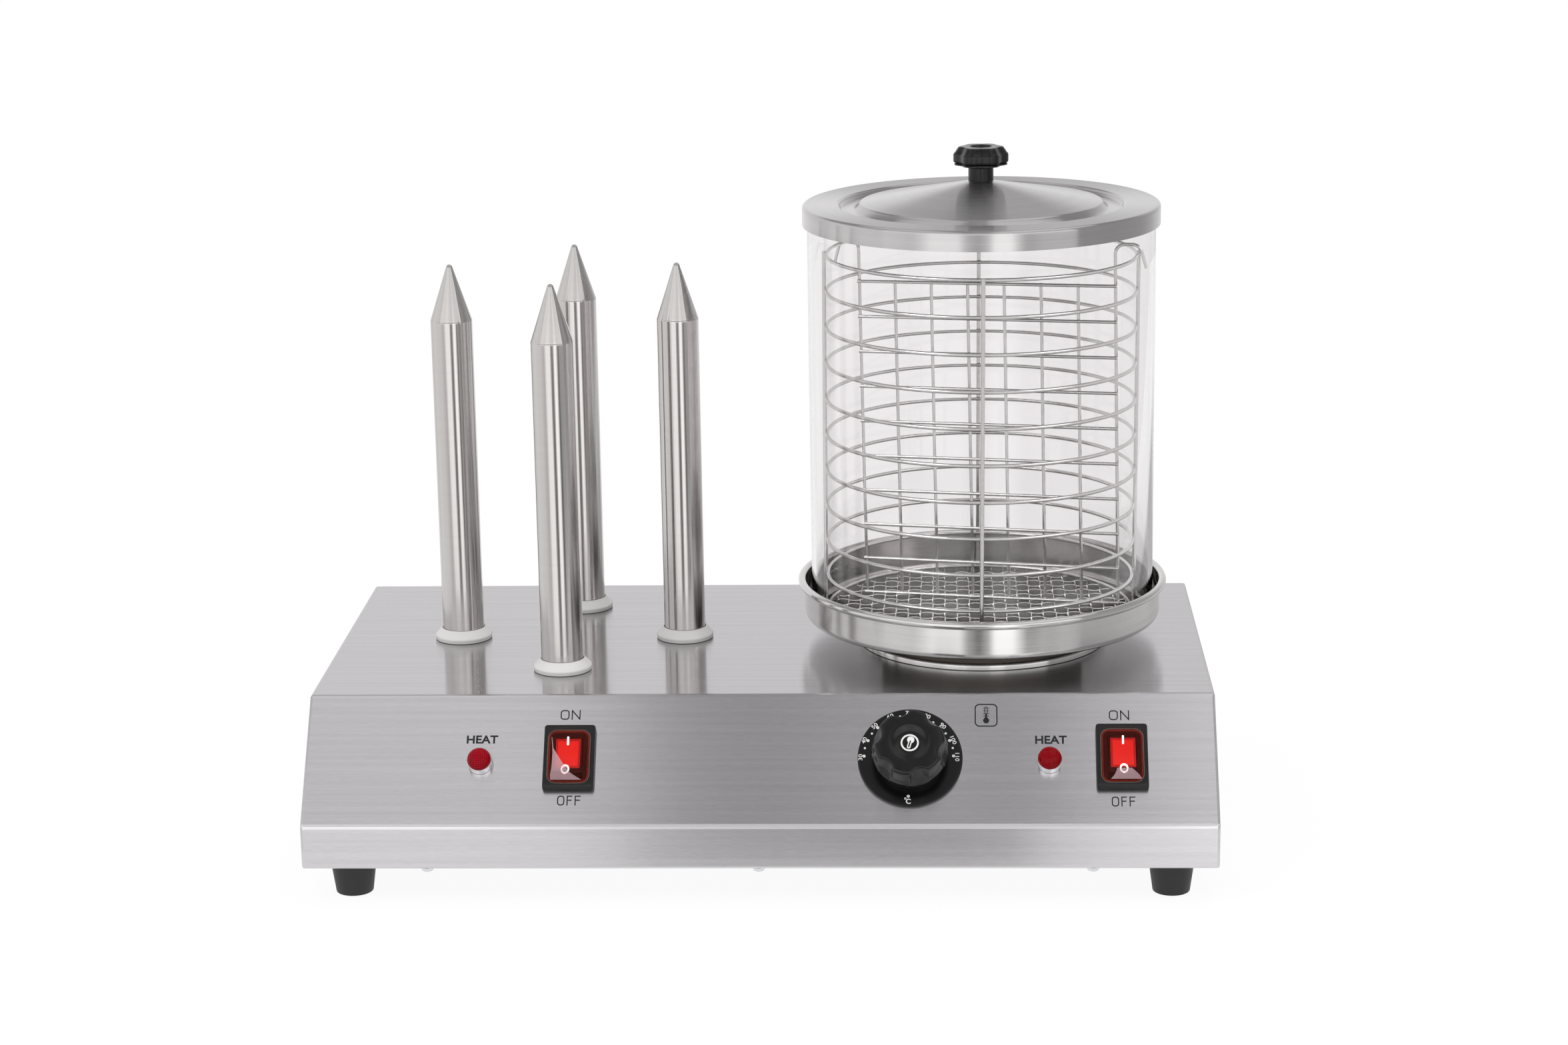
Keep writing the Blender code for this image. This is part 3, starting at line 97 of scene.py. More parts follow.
# %% [markdown]
# ## A node at a time
# Shader and geometry trees are both built from nodes. One function adds a node, sets its options
# and joins its inputs, so a whole tree reads as a list of steps. The steps that come back most,
# such as arithmetic, noise and a mix of two colours, have short functions of their own.

# %% Node helpers, and colours written as hex
def feed(tree, node, inputs):
    """Gives each input a plain value, a socket, or the first output of another node."""
    for key, value in inputs.items():
        if isinstance(value, bpy.types.Node):
            value = value.outputs[0]
        if isinstance(value, bpy.types.NodeSocket):
            tree.links.new(value, node.inputs[key])
        else:
            node.inputs[key].default_value = value


def add(tree, kind, inputs=None, **settings):
    node = tree.nodes.new(kind)
    for name, value in settings.items():
        setattr(node, name, value)
    feed(tree, node, inputs or {})
    return node


def calc(tree, operation, *values):
    return add(tree, "ShaderNodeMath", dict(enumerate(values)), operation=operation)


def vector_calc(tree, operation, *values):
    """Some operations on vectors answer with a number, the others with a vector."""
    node = add(tree, "ShaderNodeVectorMath", dict(enumerate(values)), operation=operation)
    return node.outputs["Value" if operation in ("DOT_PRODUCT", "DISTANCE", "LENGTH") else "Vector"]


def vector(tree, **axes):
    return add(tree, "ShaderNodeCombineXYZ", axes)


def split(tree, value):
    return add(tree, "ShaderNodeSeparateXYZ", {"Vector": value}).outputs


def remap(tree, value, low, high, to_low=0.0, to_high=1.0):
    return add(tree, "ShaderNodeMapRange", {"Value": value, "From Min": low, "From Max": high,
                                            "To Min": to_low, "To Max": to_high})


def object_place(tree):
    return add(tree, "ShaderNodeTexCoord").outputs["Object"]


def noise(tree, where, scale, detail, roughness=0.5):
    return add(tree, "ShaderNodeTexNoise", {"Vector": where, "Scale": scale, "Detail": detail,
                                            "Roughness": roughness})


def colour(text):
    """sRGB hex to the linear values that a shader works in."""
    parts = [int(text[i:i + 2], 16) / 255 for i in (1, 3, 5)]
    return (*(p / 12.92 if p <= 0.04045 else ((p + 0.055) / 1.055) ** 2.4 for p in parts), 1.0)


def blend(tree, factor, dark, light):
    mix = add(tree, "ShaderNodeMix", {"Factor": factor, 6: colour(dark), 7: colour(light)}, data_type="RGBA")
    return mix.outputs[2]


def relief(tree, height, strength, distance):
    """Bump whose full height is given in millimetres."""
    return add(tree, "ShaderNodeBump", {"Height": height, "Strength": strength, "Distance": distance * MM})


def blank_material(name):
    made = bpy.data.materials.new(name)
    made.use_nodes = True
    made.node_tree.nodes.clear()
    return made


def finish(name, base, roughness, metallic=0.0, glow=None, **sockets):
    """A material with one shader, whose plain values are set on its own sockets."""
    made = blank_material(name)
    values = {"Base Color": colour(base), "Roughness": roughness, "Metallic": metallic}
    values.update({key.replace("_", " "): value for key, value in sockets.items()})
    if glow:
        values.update({"Emission Color": colour(glow[0]), "Emission Strength": glow[1]})
    shader = add(made.node_tree, "ShaderNodeBsdfPrincipled", values)
    add(made.node_tree, "ShaderNodeOutputMaterial", {"Surface": shader})
    return made, made.node_tree, shader


print("half grey in a shader:", [round(v, 3) for v in colour("#808080")])

# %% [markdown]
# ## Brushed stainless sheet
# The base is folded from stainless sheet with a brushed grain that runs from left to right. Under
# a lamp such a surface is crisp along the grain and smeared across it, which is anisotropy: the
# shader needs the direction of the grain, not a picture of it. The direction is worked out from
# the normal, so it turns down the ends as the grain does on a folded blank. Noise that is
# stretched along the same direction gives the fine lines. Real grit lines are about 0.1 mm wide,
# and they are drawn about 0.3 mm wide so that they show at all.

# %% Grain that follows the sheet
def grain(tree):
    """Direction of the brushing, and a point measured along and across it in metres."""
    backwards = (0.0, 0.98, 0.2)
    normal = add(tree, "ShaderNodeNewGeometry").outputs["Normal"]
    spot = object_place(tree)
    along = vector_calc(tree, "NORMALIZE", vector_calc(tree, "CROSS_PRODUCT", normal, backwards))
    across = vector_calc(tree, "CROSS_PRODUCT", normal, along)
    return along, vector(tree, X=vector_calc(tree, "DOT_PRODUCT", spot, along),
                         Y=vector_calc(tree, "DOT_PRODUCT", spot, across))


def brushed(tree, shader, where, dark, light, line, rough, depth, stretch=90.0):
    """Fine lines and wide soft streaks in colour, roughness and height. line is in millimetres."""
    fine_scale = (1 / (line * stretch * MM), 1 / (line * MM), 1)
    fine = noise(tree, add(tree, "ShaderNodeMapping", {"Vector": where, "Scale": fine_scale}), 1.0, 3.0, 0.65)
    wide_scale = (4.0, 260.0, 1)
    wide = noise(tree, add(tree, "ShaderNodeMapping", {"Vector": where, "Scale": wide_scale}), 1.0, 4.0, 0.6)
    tone = remap(tree, calc(tree, "ADD", fine, wide), 0.65, 1.35)
    feed(tree, shader, {"Base Color": blend(tree, tone, dark, light),
                        "Roughness": remap(tree, fine, 0.3, 0.7, *rough),
                        "Normal": relief(tree, fine, depth, 0.1)})


GRAINED = {"Anisotropic_Rotation": 0.25}
sheet_steel, tree, shader = finish("brushed_stainless_sheet", "#C3C2C0", 0.3, 1.0, Anisotropic=1.0, **GRAINED)
direction, flat = grain(tree)
feed(tree, shader, {"Tangent": direction})
brushed(tree, shader, flat, "#C9C7C9", "#D9D7D9", 0.3, (0.17, 0.20), 0.02, stretch=24.0)
print("sheet steel has", len(tree.nodes), "nodes")

# %% [markdown]
# ## Turned stainless steel
# The lid, the tray and the spikes are pressed or drawn round, so their marks run round them. Each
# round piece below carries a UV map named brush, whose first axis runs round the turn, and the
# shader reads its tangent from it. The spikes are polished nearly to a mirror, the tray less so,
# and the lid keeps a soft satin face.

# %% Lid, tray, spike and ring steels
def turned_steel(name, dark, light, rough, depth, line=0.6, anisotropic=1.0):
    made, tree, shader = finish(name, light, rough[0], 1.0, Anisotropic=anisotropic, **GRAINED)
    feed(tree, shader, {"Tangent": add(tree, "ShaderNodeTangent", direction_type="UV_MAP", uv_map="brush")})
    brushed(tree, shader, add(tree, "ShaderNodeUVMap", uv_map="brush"), dark, light, line, rough, depth)
    return made


lid_steel = turned_steel("pressed_stainless_lid", "#B9B7B7", "#C5C3C3", (0.20, 0.25), 0.01)
tray_steel = turned_steel("drawn_stainless_tray", "#CDCBCA", "#D8D6D5", (0.14, 0.18), 0.01)
spike_steel = turned_steel("polished_stainless_tube", "#BFBCBA", "#C4C1BF", (0.12, 0.14), 0.0, line=0.25)
ring_steel = turned_steel("bright_stainless_ring", "#CECCCA", "#DAD8D6", (0.13, 0.18), 0.0)
# The tray's floor is a darker grey copy of the steel: painted shade where the basket and the lid darken it.
tray_floor_shade = turned_steel("dulled_tray_floor", "#6C6967", "#85827F", (0.42, 0.52), 0.02, anisotropic=0.6)
print(len(bpy.data.materials), "materials so far")

# %% [markdown]
# ## Polished wire
# The basket and the divider are made of drawn wire that is welded and then electropolished, so it
# is bright but slightly uneven. A soft noise moves the roughness and the height a little, about
# 2 mm across, which breaks up the long straight highlights.

# %% Wire, galvanised sheet, chrome, heater and copper
def mottled_metal(name, dark, light, rough, patch, depth=0.05):
    """Metal whose tone and roughness drift in patches of the given size in millimetres."""
    made, tree, shader = finish(name, light, rough[0], 1.0)
    drift = noise(tree, object_place(tree), 1 / (patch * MM), 4.0, 0.6)
    feed(tree, shader, {"Base Color": blend(tree, drift, dark, light),
                        "Roughness": remap(tree, drift, 0.3, 0.7, *rough),
                        "Normal": relief(tree, drift, depth, 0.1)})
    return made


wire_steel = mottled_metal("electropolished_wire", "#C6C5C3", "#DCDBD9", (0.10, 0.18), 2.0)
zinc_sheet = mottled_metal("galvanised_sheet", "#9FA3A6", "#B9BCBE", (0.38, 0.52), 9.0)
chrome_plate = mottled_metal("chrome_plating", "#D4D4D6", "#DEDEE0", (0.04, 0.08), 3.0, 0.01)
hot_metal = mottled_metal("heat_stained_iron", "#6E665E", "#8C857C", (0.40, 0.60), 5.0, 0.15)
copper_tube = mottled_metal("drawn_copper", "#B87A58", "#C98D6A", (0.28, 0.42), 4.0)
print(len(bpy.data.materials), "materials so far")

# %% [markdown]
# ## Plastics, rubber and silicone
# The knobs and switch frames are moulded black plastic with a fine spark-eroded texture that
# dulls the highlight. The feet are matt rubber, the collars a soft off-white silicone. Each is
# coloured through and drifts only slightly in tone, so most of the detail is in height and
# roughness. The soft switch covers are so thin that they bend no light: a little colour over what
# lies behind is enough for them. The lit pieces glow a little in their own colour.

# %% Moulded materials
def moulded(name, base, rough, bump, texture, pale, **sockets):
    """texture is the size of the mould's grain in millimetres."""
    made, tree, shader = finish(name, base, rough, **sockets)
    spot = object_place(tree)
    grit = noise(tree, spot, 1 / (texture * MM), 2.0)
    drift = noise(tree, spot, 70.0, 3.0)
    feed(tree, shader, {"Base Color": blend(tree, drift, base, pale),
                        "Roughness": remap(tree, drift, 0.3, 0.7, rough * 0.88, rough * 1.12),
                        "Normal": relief(tree, grit, bump, 0.08)})
    return made


black_plastic = moulded("moulded_black_nylon", "#09090A", 0.22, 0.08, 0.35, "#0E0E0F", IOR=1.42)
switch_black = moulded("moulded_black_switch", "#101111", 0.36, 0.2, 0.3, "#171818", IOR=1.4)
black_rubber = moulded("matt_black_rubber", "#131213", 0.5, 0.3, 0.6, "#1C1B1B")
white_silicone = moulded("off_white_silicone", "#CECCCA", 0.5, 0.15, 0.5, "#D8D6D4")
nylon = moulded("natural_nylon", "#D3CDB8", 0.5, 0.2, 0.5, "#DDD8C6")
grey_ink = moulded("screen_printed_grey", "#1A1B1D", 0.55, 0.1, 0.3, "#222326", IOR=1.35)
white_ink = moulded("screen_printed_white", "#D6D6D4", 0.5, 0.1, 0.3, "#E2E2E0")
red_plastic = moulded("lit_red_polycarbonate", "#C81008", 0.3, 0.05, 0.5, "#D8180E", IOR=1.3,
                      glow=("#F41A12", 0.36))
edge_red = moulded("shaded_red_polycarbonate", "#8A0806", 0.3, 0.05, 0.5, "#9C0C08", IOR=1.3,
                   glow=("#E00808", 0.3))
dark_red = moulded("unlit_red_polycarbonate", "#1C0302", 0.3, 0.05, 0.5, "#2C0603", IOR=1.15,
                   glow=("#8A1806", 0.06))
rim_red = moulded("glowing_red_rim", "#4A0E06", 0.4, 0.05, 0.8, "#7A1E0C", IOR=1.2,
                  glow=("#B82A0C", 0.1))
# The pale film below is no part of the silicone: it paints a reflection on the switch covers.
cover_sheen_film = moulded("milky_silicone_fold", "#D8B0B6", 0.5, 0.05, 0.8, "#E4C8CE", IOR=1.3, Alpha=0.44)
# The pale translucent ring below is a painted highlight of each cover's rolled edge.
cover_highlight_ring = moulded("cover_edge_bead", "#6E625E", 0.12, 0.02, 0.8, "#8A7E7A", IOR=1.5, Alpha=0.5)
clear_cover = moulded("tinted_silicone_cover", "#3A120C", 0.05, 0.02, 6.0, "#4A1A12", IOR=1.45, Alpha=0.1)
lit_mark = moulded("lit_white_mark", "#F2F0EE", 0.4, 0.05, 0.5, "#FFFDFA", glow=("#FFF4F0", 1.6))
plain_lens = moulded("smooth_red_lens", "#6A040C", 0.12, 0.03, 0.8, "#840810", IOR=1.18,
                     glow=("#B01018", 0.04))
print(len(bpy.data.materials), "materials so far")

# %% [markdown]
# ## Glass and the cut lens
# The cylinder is clear borosilicate glass. What the eye reads is not the glass but its two bright
# edges and a faint cool tint, so it is modelled with its real wall and a plain dielectric shader.
# Its surface has a very slight drawn waviness, about 40 mm long. One signal lens shows its cut
# facets, which are cells of a regular grid in height, each painted lighter in its middle as a
# painted glint.

# %% Glass and faceted lens
GLASS_WAVE, FACET = 40.0, 0.95
clear_glass, tree, shader = finish("borosilicate_glass", "#F6F4F5", 0.0, Transmission_Weight=1.0, IOR=1.47)
drift = noise(tree, object_place(tree), 1 / (GLASS_WAVE * MM), 1.0)
feed(tree, shader, {"Normal": relief(tree, drift, 0.02, 0.5)})

lens_red, tree, shader = finish("red_signal_lens", "#7A0810", 0.12, glow=("#C01018", 0.05), IOR=1.18)
plan = add(tree, "ShaderNodeUVMap", uv_map="plan")
facet = add(tree, "ShaderNodeTexVoronoi", {"Vector": plan, "Scale": 1 / (FACET * MM), "Randomness": 0.0},
            voronoi_dimensions="2D", feature="F1")
# Each facet is lighter red in its middle and darker at its edges: a painted glint in every cell. The relief
# is the real cut.
feed(tree, shader, {"Base Color": blend(tree, remap(tree, facet, 0.1, 0.65), "#A80A1E", "#40020C"),
                    "Normal": relief(tree, facet, 0.5, 0.3)})
print("facets are", FACET, "mm across")

# %% [markdown]
# ## Carrying pieces over
# Every finished piece is a plain mesh that sits at the origin with its place in its points. One
# function makes the object, hangs it under the empty of the body that carries it, and hides the
# plain nodes that it stands for.

# %% From mesh to finished piece
def to_mesh(shape, name, outward=True):
    """A bmesh as a mesh. The faces of a closed shape are turned outwards."""
    if outward:
        bmesh.ops.recalc_face_normals(shape, faces=shape.faces)
    mesh = bpy.data.meshes.new(name)
    shape.to_mesh(mesh)
    shape.free()
    return mesh


def into_scene(name, data):
    item = bpy.data.objects.new(name, data)
    bpy.context.scene.collection.objects.link(item)
    return item


def piece(name, shape, material, body, slot, replaces=(), smooth=40):
    """shape is a bmesh or a mesh."""
    if isinstance(shape, bmesh.types.BMesh):
        shape = to_mesh(shape, name)
    shape.name = name
    shape.shade_smooth()
    shape.set_sharp_from_angle(angle=math.radians(smooth))
    shape.materials.clear()
    shape.materials.append(material)
    item = into_scene(name, shape)
    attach(item, body)
    if replaces:
        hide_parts(*replaces)
    print(name, len(shape.polygons), "faces")


def braced(profile, inset=0.5):
    """Adds a ring just inside each end of a long straight stretch, so that smooth shading
    stays in the bends and a straight wall doesn't act like a lens."""
    closed = profile[0][0] and profile[-1][0]
    full = []
    for index, spot in enumerate(profile):
        full.append(spot)
        after = profile[(index + 1) % len(profile)]
        length = math.dist(spot, after)
        if length > 4 * inset and (closed or index + 1 < len(profile)):
            for share in (inset / length, 1 - inset / length):
                full.append(tuple(a + (b - a) * share for a, b in zip(spot, after)))
    return full


def turned(profile, sides, place=ORIGIN, radius_at=None):
    """Profile of (radius, height) points in millimetres, turned about Z. Its UV map runs round the turn."""
    profile = braced(profile)
    shape = bmesh.new()
    brush = shape.loops.layers.uv.new("brush")
    rings, lengths, run = [], [], 0.0
    for index, (radius, height) in enumerate(profile):
        run += math.dist(profile[index - 1], profile[index]) * MM if index else 0.0
        lengths.append(run)
        ring = []
        for step in range(sides if radius else 1):
            angle = math.tau * step / sides
            reach = (radius_at(radius, height, angle) if radius_at else radius) * MM
            spot = Vector((reach * math.cos(angle), reach * math.sin(angle), height * MM))
            ring.append(shape.verts.new(place @ spot))
        rings.append(ring)
    widest = max(radius for radius, _ in profile) * MM
    closed = profile[0][0] and profile[-1][0]
    for first in range(len(rings) if closed else len(rings) - 1):
        second = (first + 1) % len(rings)
        near, far = rings[first], rings[second]
        if len(near) == 1 and len(far) == 1:
            continue
        low, high = lengths[first], lengths[second] if second else run
        for step in range(sides):
            after = step + 1
            spots = [(near, step, low), (near, after, low), (far, after, high), (far, step, high)]
            if len(near) == 1:
                spots = spots[1:]
            if len(far) == 1:
                spots = spots[:3]
            face = shape.faces.new([ring[at % len(ring)] for ring, at, _ in spots])
            for loop, (_, at, v) in zip(face.loops, spots):
                loop[brush].uv = (math.tau * widest * at / sides, v)
    return shape


def turned_piece(name, profile, sides, *record, place=on_deck(), radius_at=None, **more):
    """record is the material, the body, the slot, which is not used, and the nodes that it replaces."""
    piece(name, turned(profile, sides, place, radius_at), *record, **more)


def bend(centre, radius, start, sweep, steps):
    """Points of an arc, angles in degrees."""
    spots = [math.radians(start + sweep * step / steps) for step in range(steps + 1)]
    return [(centre[0] + radius * math.cos(a), centre[1] + radius * math.sin(a)) for a in spots]


def circle(radius, steps, centre=(0, 0)):
    return bend(centre, radius, 0, 360, steps)[:-1]


print("a quarter turn in 8 steps has", len(bend((0, 0), 30, 0, 90, 8)), "points")

# %% [markdown]
# ## Growing pieces from a tree
# What repeats is made by Geometry Nodes. The tree is built here, run once on an empty mesh or on
# a small seed, and its result is copied into a plain mesh, because instances and live modifiers
# don't survive the export. Inputs have names, and are set by their identifiers.

# %% Run a tree and keep its mesh
def new_tree(name, **sizes):
    """A geometry tree, and its inputs by name: a geometry and one for each size."""
    tree = bpy.data.node_groups.new(name, "GeometryNodeTree")
    for way in ("INPUT", "OUTPUT"):
        tree.interface.new_socket("Geometry", in_out=way, socket_type="NodeSocketGeometry")
    for label, value in sizes.items():
        kind = "NodeSocketInt" if isinstance(value, int) else "NodeSocketFloat"
        socket = tree.interface.new_socket(label.replace("_", " "), in_out="INPUT", socket_type=kind)
        socket.default_value = value
    return tree, add(tree, "NodeGroupInput").outputs


def close_tree(tree, geometry, material):
    real = add(tree, "GeometryNodeRealizeInstances", {"Geometry": geometry})
    dressed = add(tree, "GeometryNodeSetMaterial", {"Geometry": real, "Material": material})
    add(tree, "NodeGroupOutput", {"Geometry": dressed})


def grow(tree, place, seed=None, **sizes):
    """Runs the tree on a seed mesh and returns a plain mesh with its place in its points."""
    item = into_scene("seed", seed or bpy.data.meshes.new("seed"))
    step = item.modifiers.new("grow", "NODES")
    step.node_group = tree
    for socket in tree.interface.items_tree:
        value = sizes.get(socket.name.replace(" ", "_"))
        if socket.in_out == "INPUT" and value is not None:
            step[socket.identifier] = value
    graph = bpy.context.evaluated_depsgraph_get()
    mesh = bpy.data.meshes.new_from_object(item.evaluated_get(graph), preserve_all_data_layers=True,
                                           depsgraph=graph)
    bpy.data.objects.remove(item, do_unlink=True)
    mesh.transform(place)
    return mesh


def wire_along(tree, curve, radius, sides, caps=False):
    """Gives a curve the round section of a wire."""
    section = add(tree, "GeometryNodeCurvePrimitiveCircle", {"Resolution": sides, "Radius": radius})
    return add(tree, "GeometryNodeCurveToMesh", {"Curve": curve, "Profile Curve": section, "Fill Caps": caps})


print("trees so far:", len(bpy.data.node_groups))

# %% [markdown]
# ## The wire basket
# Eleven rings of 2.2 mm wire are welded to the inside of four upright bars. A line of points
# carries one ring each, and a circle of four points carries the bars. Wires are curves with a
# round section, which is how a wire is bent from stock in the workshop too. The basket stands
# loose in its tray, so it leans by about a third of a degree, turned about its top ring.

# %% Rings and bars
RINGS, RING_WIRE, BASKET_LEAN = 11, 1.1, 0.36
tree, size = new_tree("welded_basket", Rings=RINGS, Ring_radius=0.0878, Wire_radius=0.0011, Pitch=0.02,
                      Top=0.2, Bar_circle=0.09, Bar_radius=0.00125, Bar_length=0.2)
down = calc(tree, "MULTIPLY", size["Pitch"], -1.0)
ladder = add(tree, "GeometryNodeMeshLine", {"Count": size["Rings"], "Offset": vector(tree, Z=down),
                                            "Start Location": vector(tree, Z=size["Top"])})
loop = add(tree, "GeometryNodeCurvePrimitiveCircle", {"Resolution": 120, "Radius": size["Ring radius"]})
rings = add(tree, "GeometryNodeInstanceOnPoints", {
    "Points": ladder, "Instance": wire_along(tree, loop, size["Wire radius"], 10)})
corners = add(tree, "GeometryNodeMeshCircle", {"Vertices": 4, "Radius": size["Bar circle"]})
foot = calc(tree, "ADD", calc(tree, "SUBTRACT", size["Top"], size["Bar length"]), size["Wire radius"])
corners = add(tree, "GeometryNodeSetPosition", {"Geometry": corners, "Offset": vector(tree, Z=foot)})
stem = add(tree, "GeometryNodeCurvePrimitiveLine", {"End": vector(tree, Z=size["Bar length"])})
stems = add(tree, "GeometryNodeInstanceOnPoints", {
    "Points": corners, "Instance": wire_along(tree, stem, size["Bar radius"], 14, caps=True)})
whole = add(tree, "GeometryNodeJoinGeometry")
for part in (rings, stems):
    feed(tree, whole, {"Geometry": part})
close_tree(tree, whole, wire_steel)

basket_low, basket_high = heights("basket")
top_ring, bottom_ring = basket_high - RING_WIRE, basket_low + RING_WIRE
crest = on_deck(height=top_ring)
mesh = grow(tree, crest @ spun(BASKET_LEAN, "Y") @ crest.inverted() @ on_deck(), Rings=RINGS,
            Ring_radius=0.0878, Wire_radius=RING_WIRE * MM, Top=top_ring * MM,
            Pitch=(top_ring - bottom_ring) / (RINGS - 1) * MM, Bar_circle=0.08935, Bar_radius=0.0012,
            Bar_length=(basket_high - basket_low - 0.2) * MM)
piece("basket_wires", mesh, wire_steel, "basket", "polished_wire", ["basket"])

# %% [markdown]
# ## The woven floor
# The basket's floor is crimped wire mesh: wires that run from left to right wave over and under
# straight ones. Each wire is a line of many points whose length is cut to the chord of the disc
# at its place, and whose height follows a sine with neighbours half a wave apart. The tree does
# this once for any pitch, so both sets of wires come from it.

# %% Crimped wires cut to a disc
STITCHES = 130
tree, size = new_tree("crimped_wires", Disc_radius=0.09, Pitch=0.0099, Wire_radius=0.00045, Wave=0.0142,
                      Amplitude=0.0006)
half = calc(tree, "FLOOR", calc(tree, "DIVIDE", size["Disc radius"], size["Pitch"]))
edge = calc(tree, "MULTIPLY", calc(tree, "MULTIPLY", half, size["Pitch"]), -1.0)
rows = add(tree, "GeometryNodeMeshLine", {"Count": calc(tree, "MULTIPLY_ADD", half, 2.0, 1.0),
                                          "Start Location": vector(tree, Y=edge),
                                          "Offset": vector(tree, Y=size["Pitch"])})
axes = split(tree, add(tree, "GeometryNodeInputPosition"))
share = calc(tree, "DIVIDE", axes["Y"], size["Disc radius"])
chord = calc(tree, "SQRT", calc(tree, "SUBTRACT", 1.0, calc(tree, "MULTIPLY", share, share)))
width = calc(tree, "MULTIPLY", chord, size["Disc radius"])
thread = add(tree, "GeometryNodeMeshLine", {"Count": STITCHES + 1, "Start Location": (-1, 0, 0),
                                            "Offset": (2 / STITCHES, 0, 0)})
threads = add(tree, "GeometryNodeInstanceOnPoints", {"Points": rows, "Instance": thread,
                                                     "Scale": vector(tree, X=width, Y=1.0, Z=1.0)})
loose = add(tree, "GeometryNodeRealizeInstances", {"Geometry": threads})
turn = calc(tree, "DIVIDE", axes["X"], size["Wave"])
row = calc(tree, "DIVIDE", axes["Y"], size["Pitch"])
angle = calc(tree, "MULTIPLY", calc(tree, "MULTIPLY_ADD", row, 0.5, turn), math.tau)
height = calc(tree, "MULTIPLY", calc(tree, "SINE", angle), size["Amplitude"])
waved = add(tree, "GeometryNodeSetPosition", {"Geometry": loose, "Offset": vector(tree, Z=height)})
curves = add(tree, "GeometryNodeMeshToCurve", {"Mesh": waved})
close_tree(tree, wire_along(tree, curves, size["Wire radius"], 6, caps=True), wire_steel)

place = on_deck(height=sum(heights("basket_floor_mesh")) / 2)
both = bmesh.new()
both.from_mesh(grow(tree, place, Disc_radius=0.0892, Pitch=0.0099, Wire_radius=0.00047, Wave=0.0142,
                    Amplitude=0.00053))
both.from_mesh(grow(tree, place @ spun(90), Disc_radius=0.0892, Pitch=0.0071, Wire_radius=0.0005, Wave=0.0198,
                    Amplitude=0.00015))
piece("basket_floor_weave", both, wire_steel, "basket", "polished_wire", ["basket_floor_mesh"])

# %% [markdown]
# ## The divider
# A welded grid of 2 mm wire stands across the basket. Its two outer wires run on above the grid
# and are bent twice into hooks that hang on the top ring. The paths are polylines, and one tree
# rounds their corners and gives them their section, which is the order in which a wire bender
# works too. It hangs loose, so it leans a little in its own plane, turned about the middle of its top.

# %% A tree that bends wire along a path
tree, size = new_tree("bent_wires", Wire_radius=0.001, Bend_radius=0.0056)
curves = add(tree, "GeometryNodeMeshToCurve", {"Mesh": size["Geometry"]})
rounded = add(tree, "GeometryNodeFilletCurve", {"Curve": curves, "Radius": size["Bend radius"], "Count": 8},
              mode="POLY")
close_tree(tree, wire_along(tree, rounded, size["Wire radius"], 12, caps=True), wire_steel)


def path_mesh(paths):
    """Polylines in millimetres as loose edges, for the tree to bend."""
    mesh = bpy.data.meshes.new("paths")
    points, edges = [], []
    for path in paths:
        edges += [(len(points) + i, len(points) + i + 1) for i in range(len(path) - 1)]
        points += [tuple(value * MM for value in point) for point in path]
    mesh.from_pydata(points, edges, [])
    return mesh


COLUMN, ROW, SIDE = 21.6, 20.7, 75.6
HOOK_RISE, OVERHANG, WIRE_LAYER = 23.9, 0.9, 1.4
DIVIDER_TURN, DIVIDER_LEAN = -14, -0.9
hook_top = heights("divider")[1] - 1.0
grid_top = hook_top - HOOK_RISE
grid_low = grid_top - 9 * ROW - OVERHANG
paths = [[(c * COLUMN - SIDE, 0, grid_low), (c * COLUMN - SIDE, 0, grid_top + OVERHANG)] for c in range(1, 7)]
for row in range(10):
    paths.append([(hand * (SIDE + OVERHANG), -WIRE_LAYER, grid_top - row * ROW) for hand in (-1, 1)])
for hand, reach in ((-1, SIDE + 13.8), (1, SIDE + 16.7)):
    paths.append([(hand * SIDE, 0, grid_low), (hand * SIDE, 0, hook_top),
                  (hand * (reach - 2.6), 0, hook_top), (hand * (reach + 1.4), 0, grid_top + 10.4)])
pin = shifted(ORIGIN, z=hook_top)
hang = on_deck(STACK.x + 2.6 * MM, STACK.y + 20 * MM) @ spun(DIVIDER_TURN)
hang = hang @ pin @ spun(DIVIDER_LEAN, "Y") @ pin.inverted()
mesh = grow(tree, hang, path_mesh(paths), Wire_radius=0.00098, Bend_radius=0.0056)
piece("divider_wires", mesh, wire_steel, "divider", "polished_wire", ["divider"])

# %% [markdown]
# ## Tray, ring and hot plate
# The water tray is drawn from sheet, with an upright wall and a rim rolled outwards into a bead
# that stiffens it. A profile turned about the stack's axis gives both. Under it stands the hot
# plate in its pressed trim ring.

# %% Turn the tray, the trim ring and the hot plate
TRAY_SKIN, SHEET, BEAD = 101.7, 0.8, 2.3
tray_under, tray_rim = heights("water_tray")
floor_up = tray_under + SHEET
bead_and_highlight = (TRAY_SKIN + BEAD, tray_rim - BEAD)
corner = (TRAY_SKIN - 3, floor_up + 3)
outer = [(0, tray_under), (TRAY_SKIN - 3, tray_under)] + bend(corner, 3 + SHEET, -90, 90, 8)[1:]
outer += [(TRAY_SKIN + SHEET, bead_and_highlight[1])] + bend(bead_and_highlight, BEAD - SHEET, 180, -250, 16)[1:]
inner = bend(bead_and_highlight, BEAD, -70, 250, 24) + [(TRAY_SKIN, floor_up + 3)]
inner += bend(corner, 3.0, 0, -90, 8)[1:] + [(0, floor_up)]
turned_piece("tray_drawn", outer + inner, 160, tray_steel, "tray", "brushed_steel", ["water_tray"])

# A thin dark sheet over the tray's floor carries that painted shade.
profile = [(0, floor_up + 0.12), (97.5, floor_up + 0.12), (97.8, floor_up + 0.02), (0, floor_up + 0.02)]
turned_piece("tray_floor_dulled", profile, 96, tray_floor_shade, "tray", "brushed_steel")

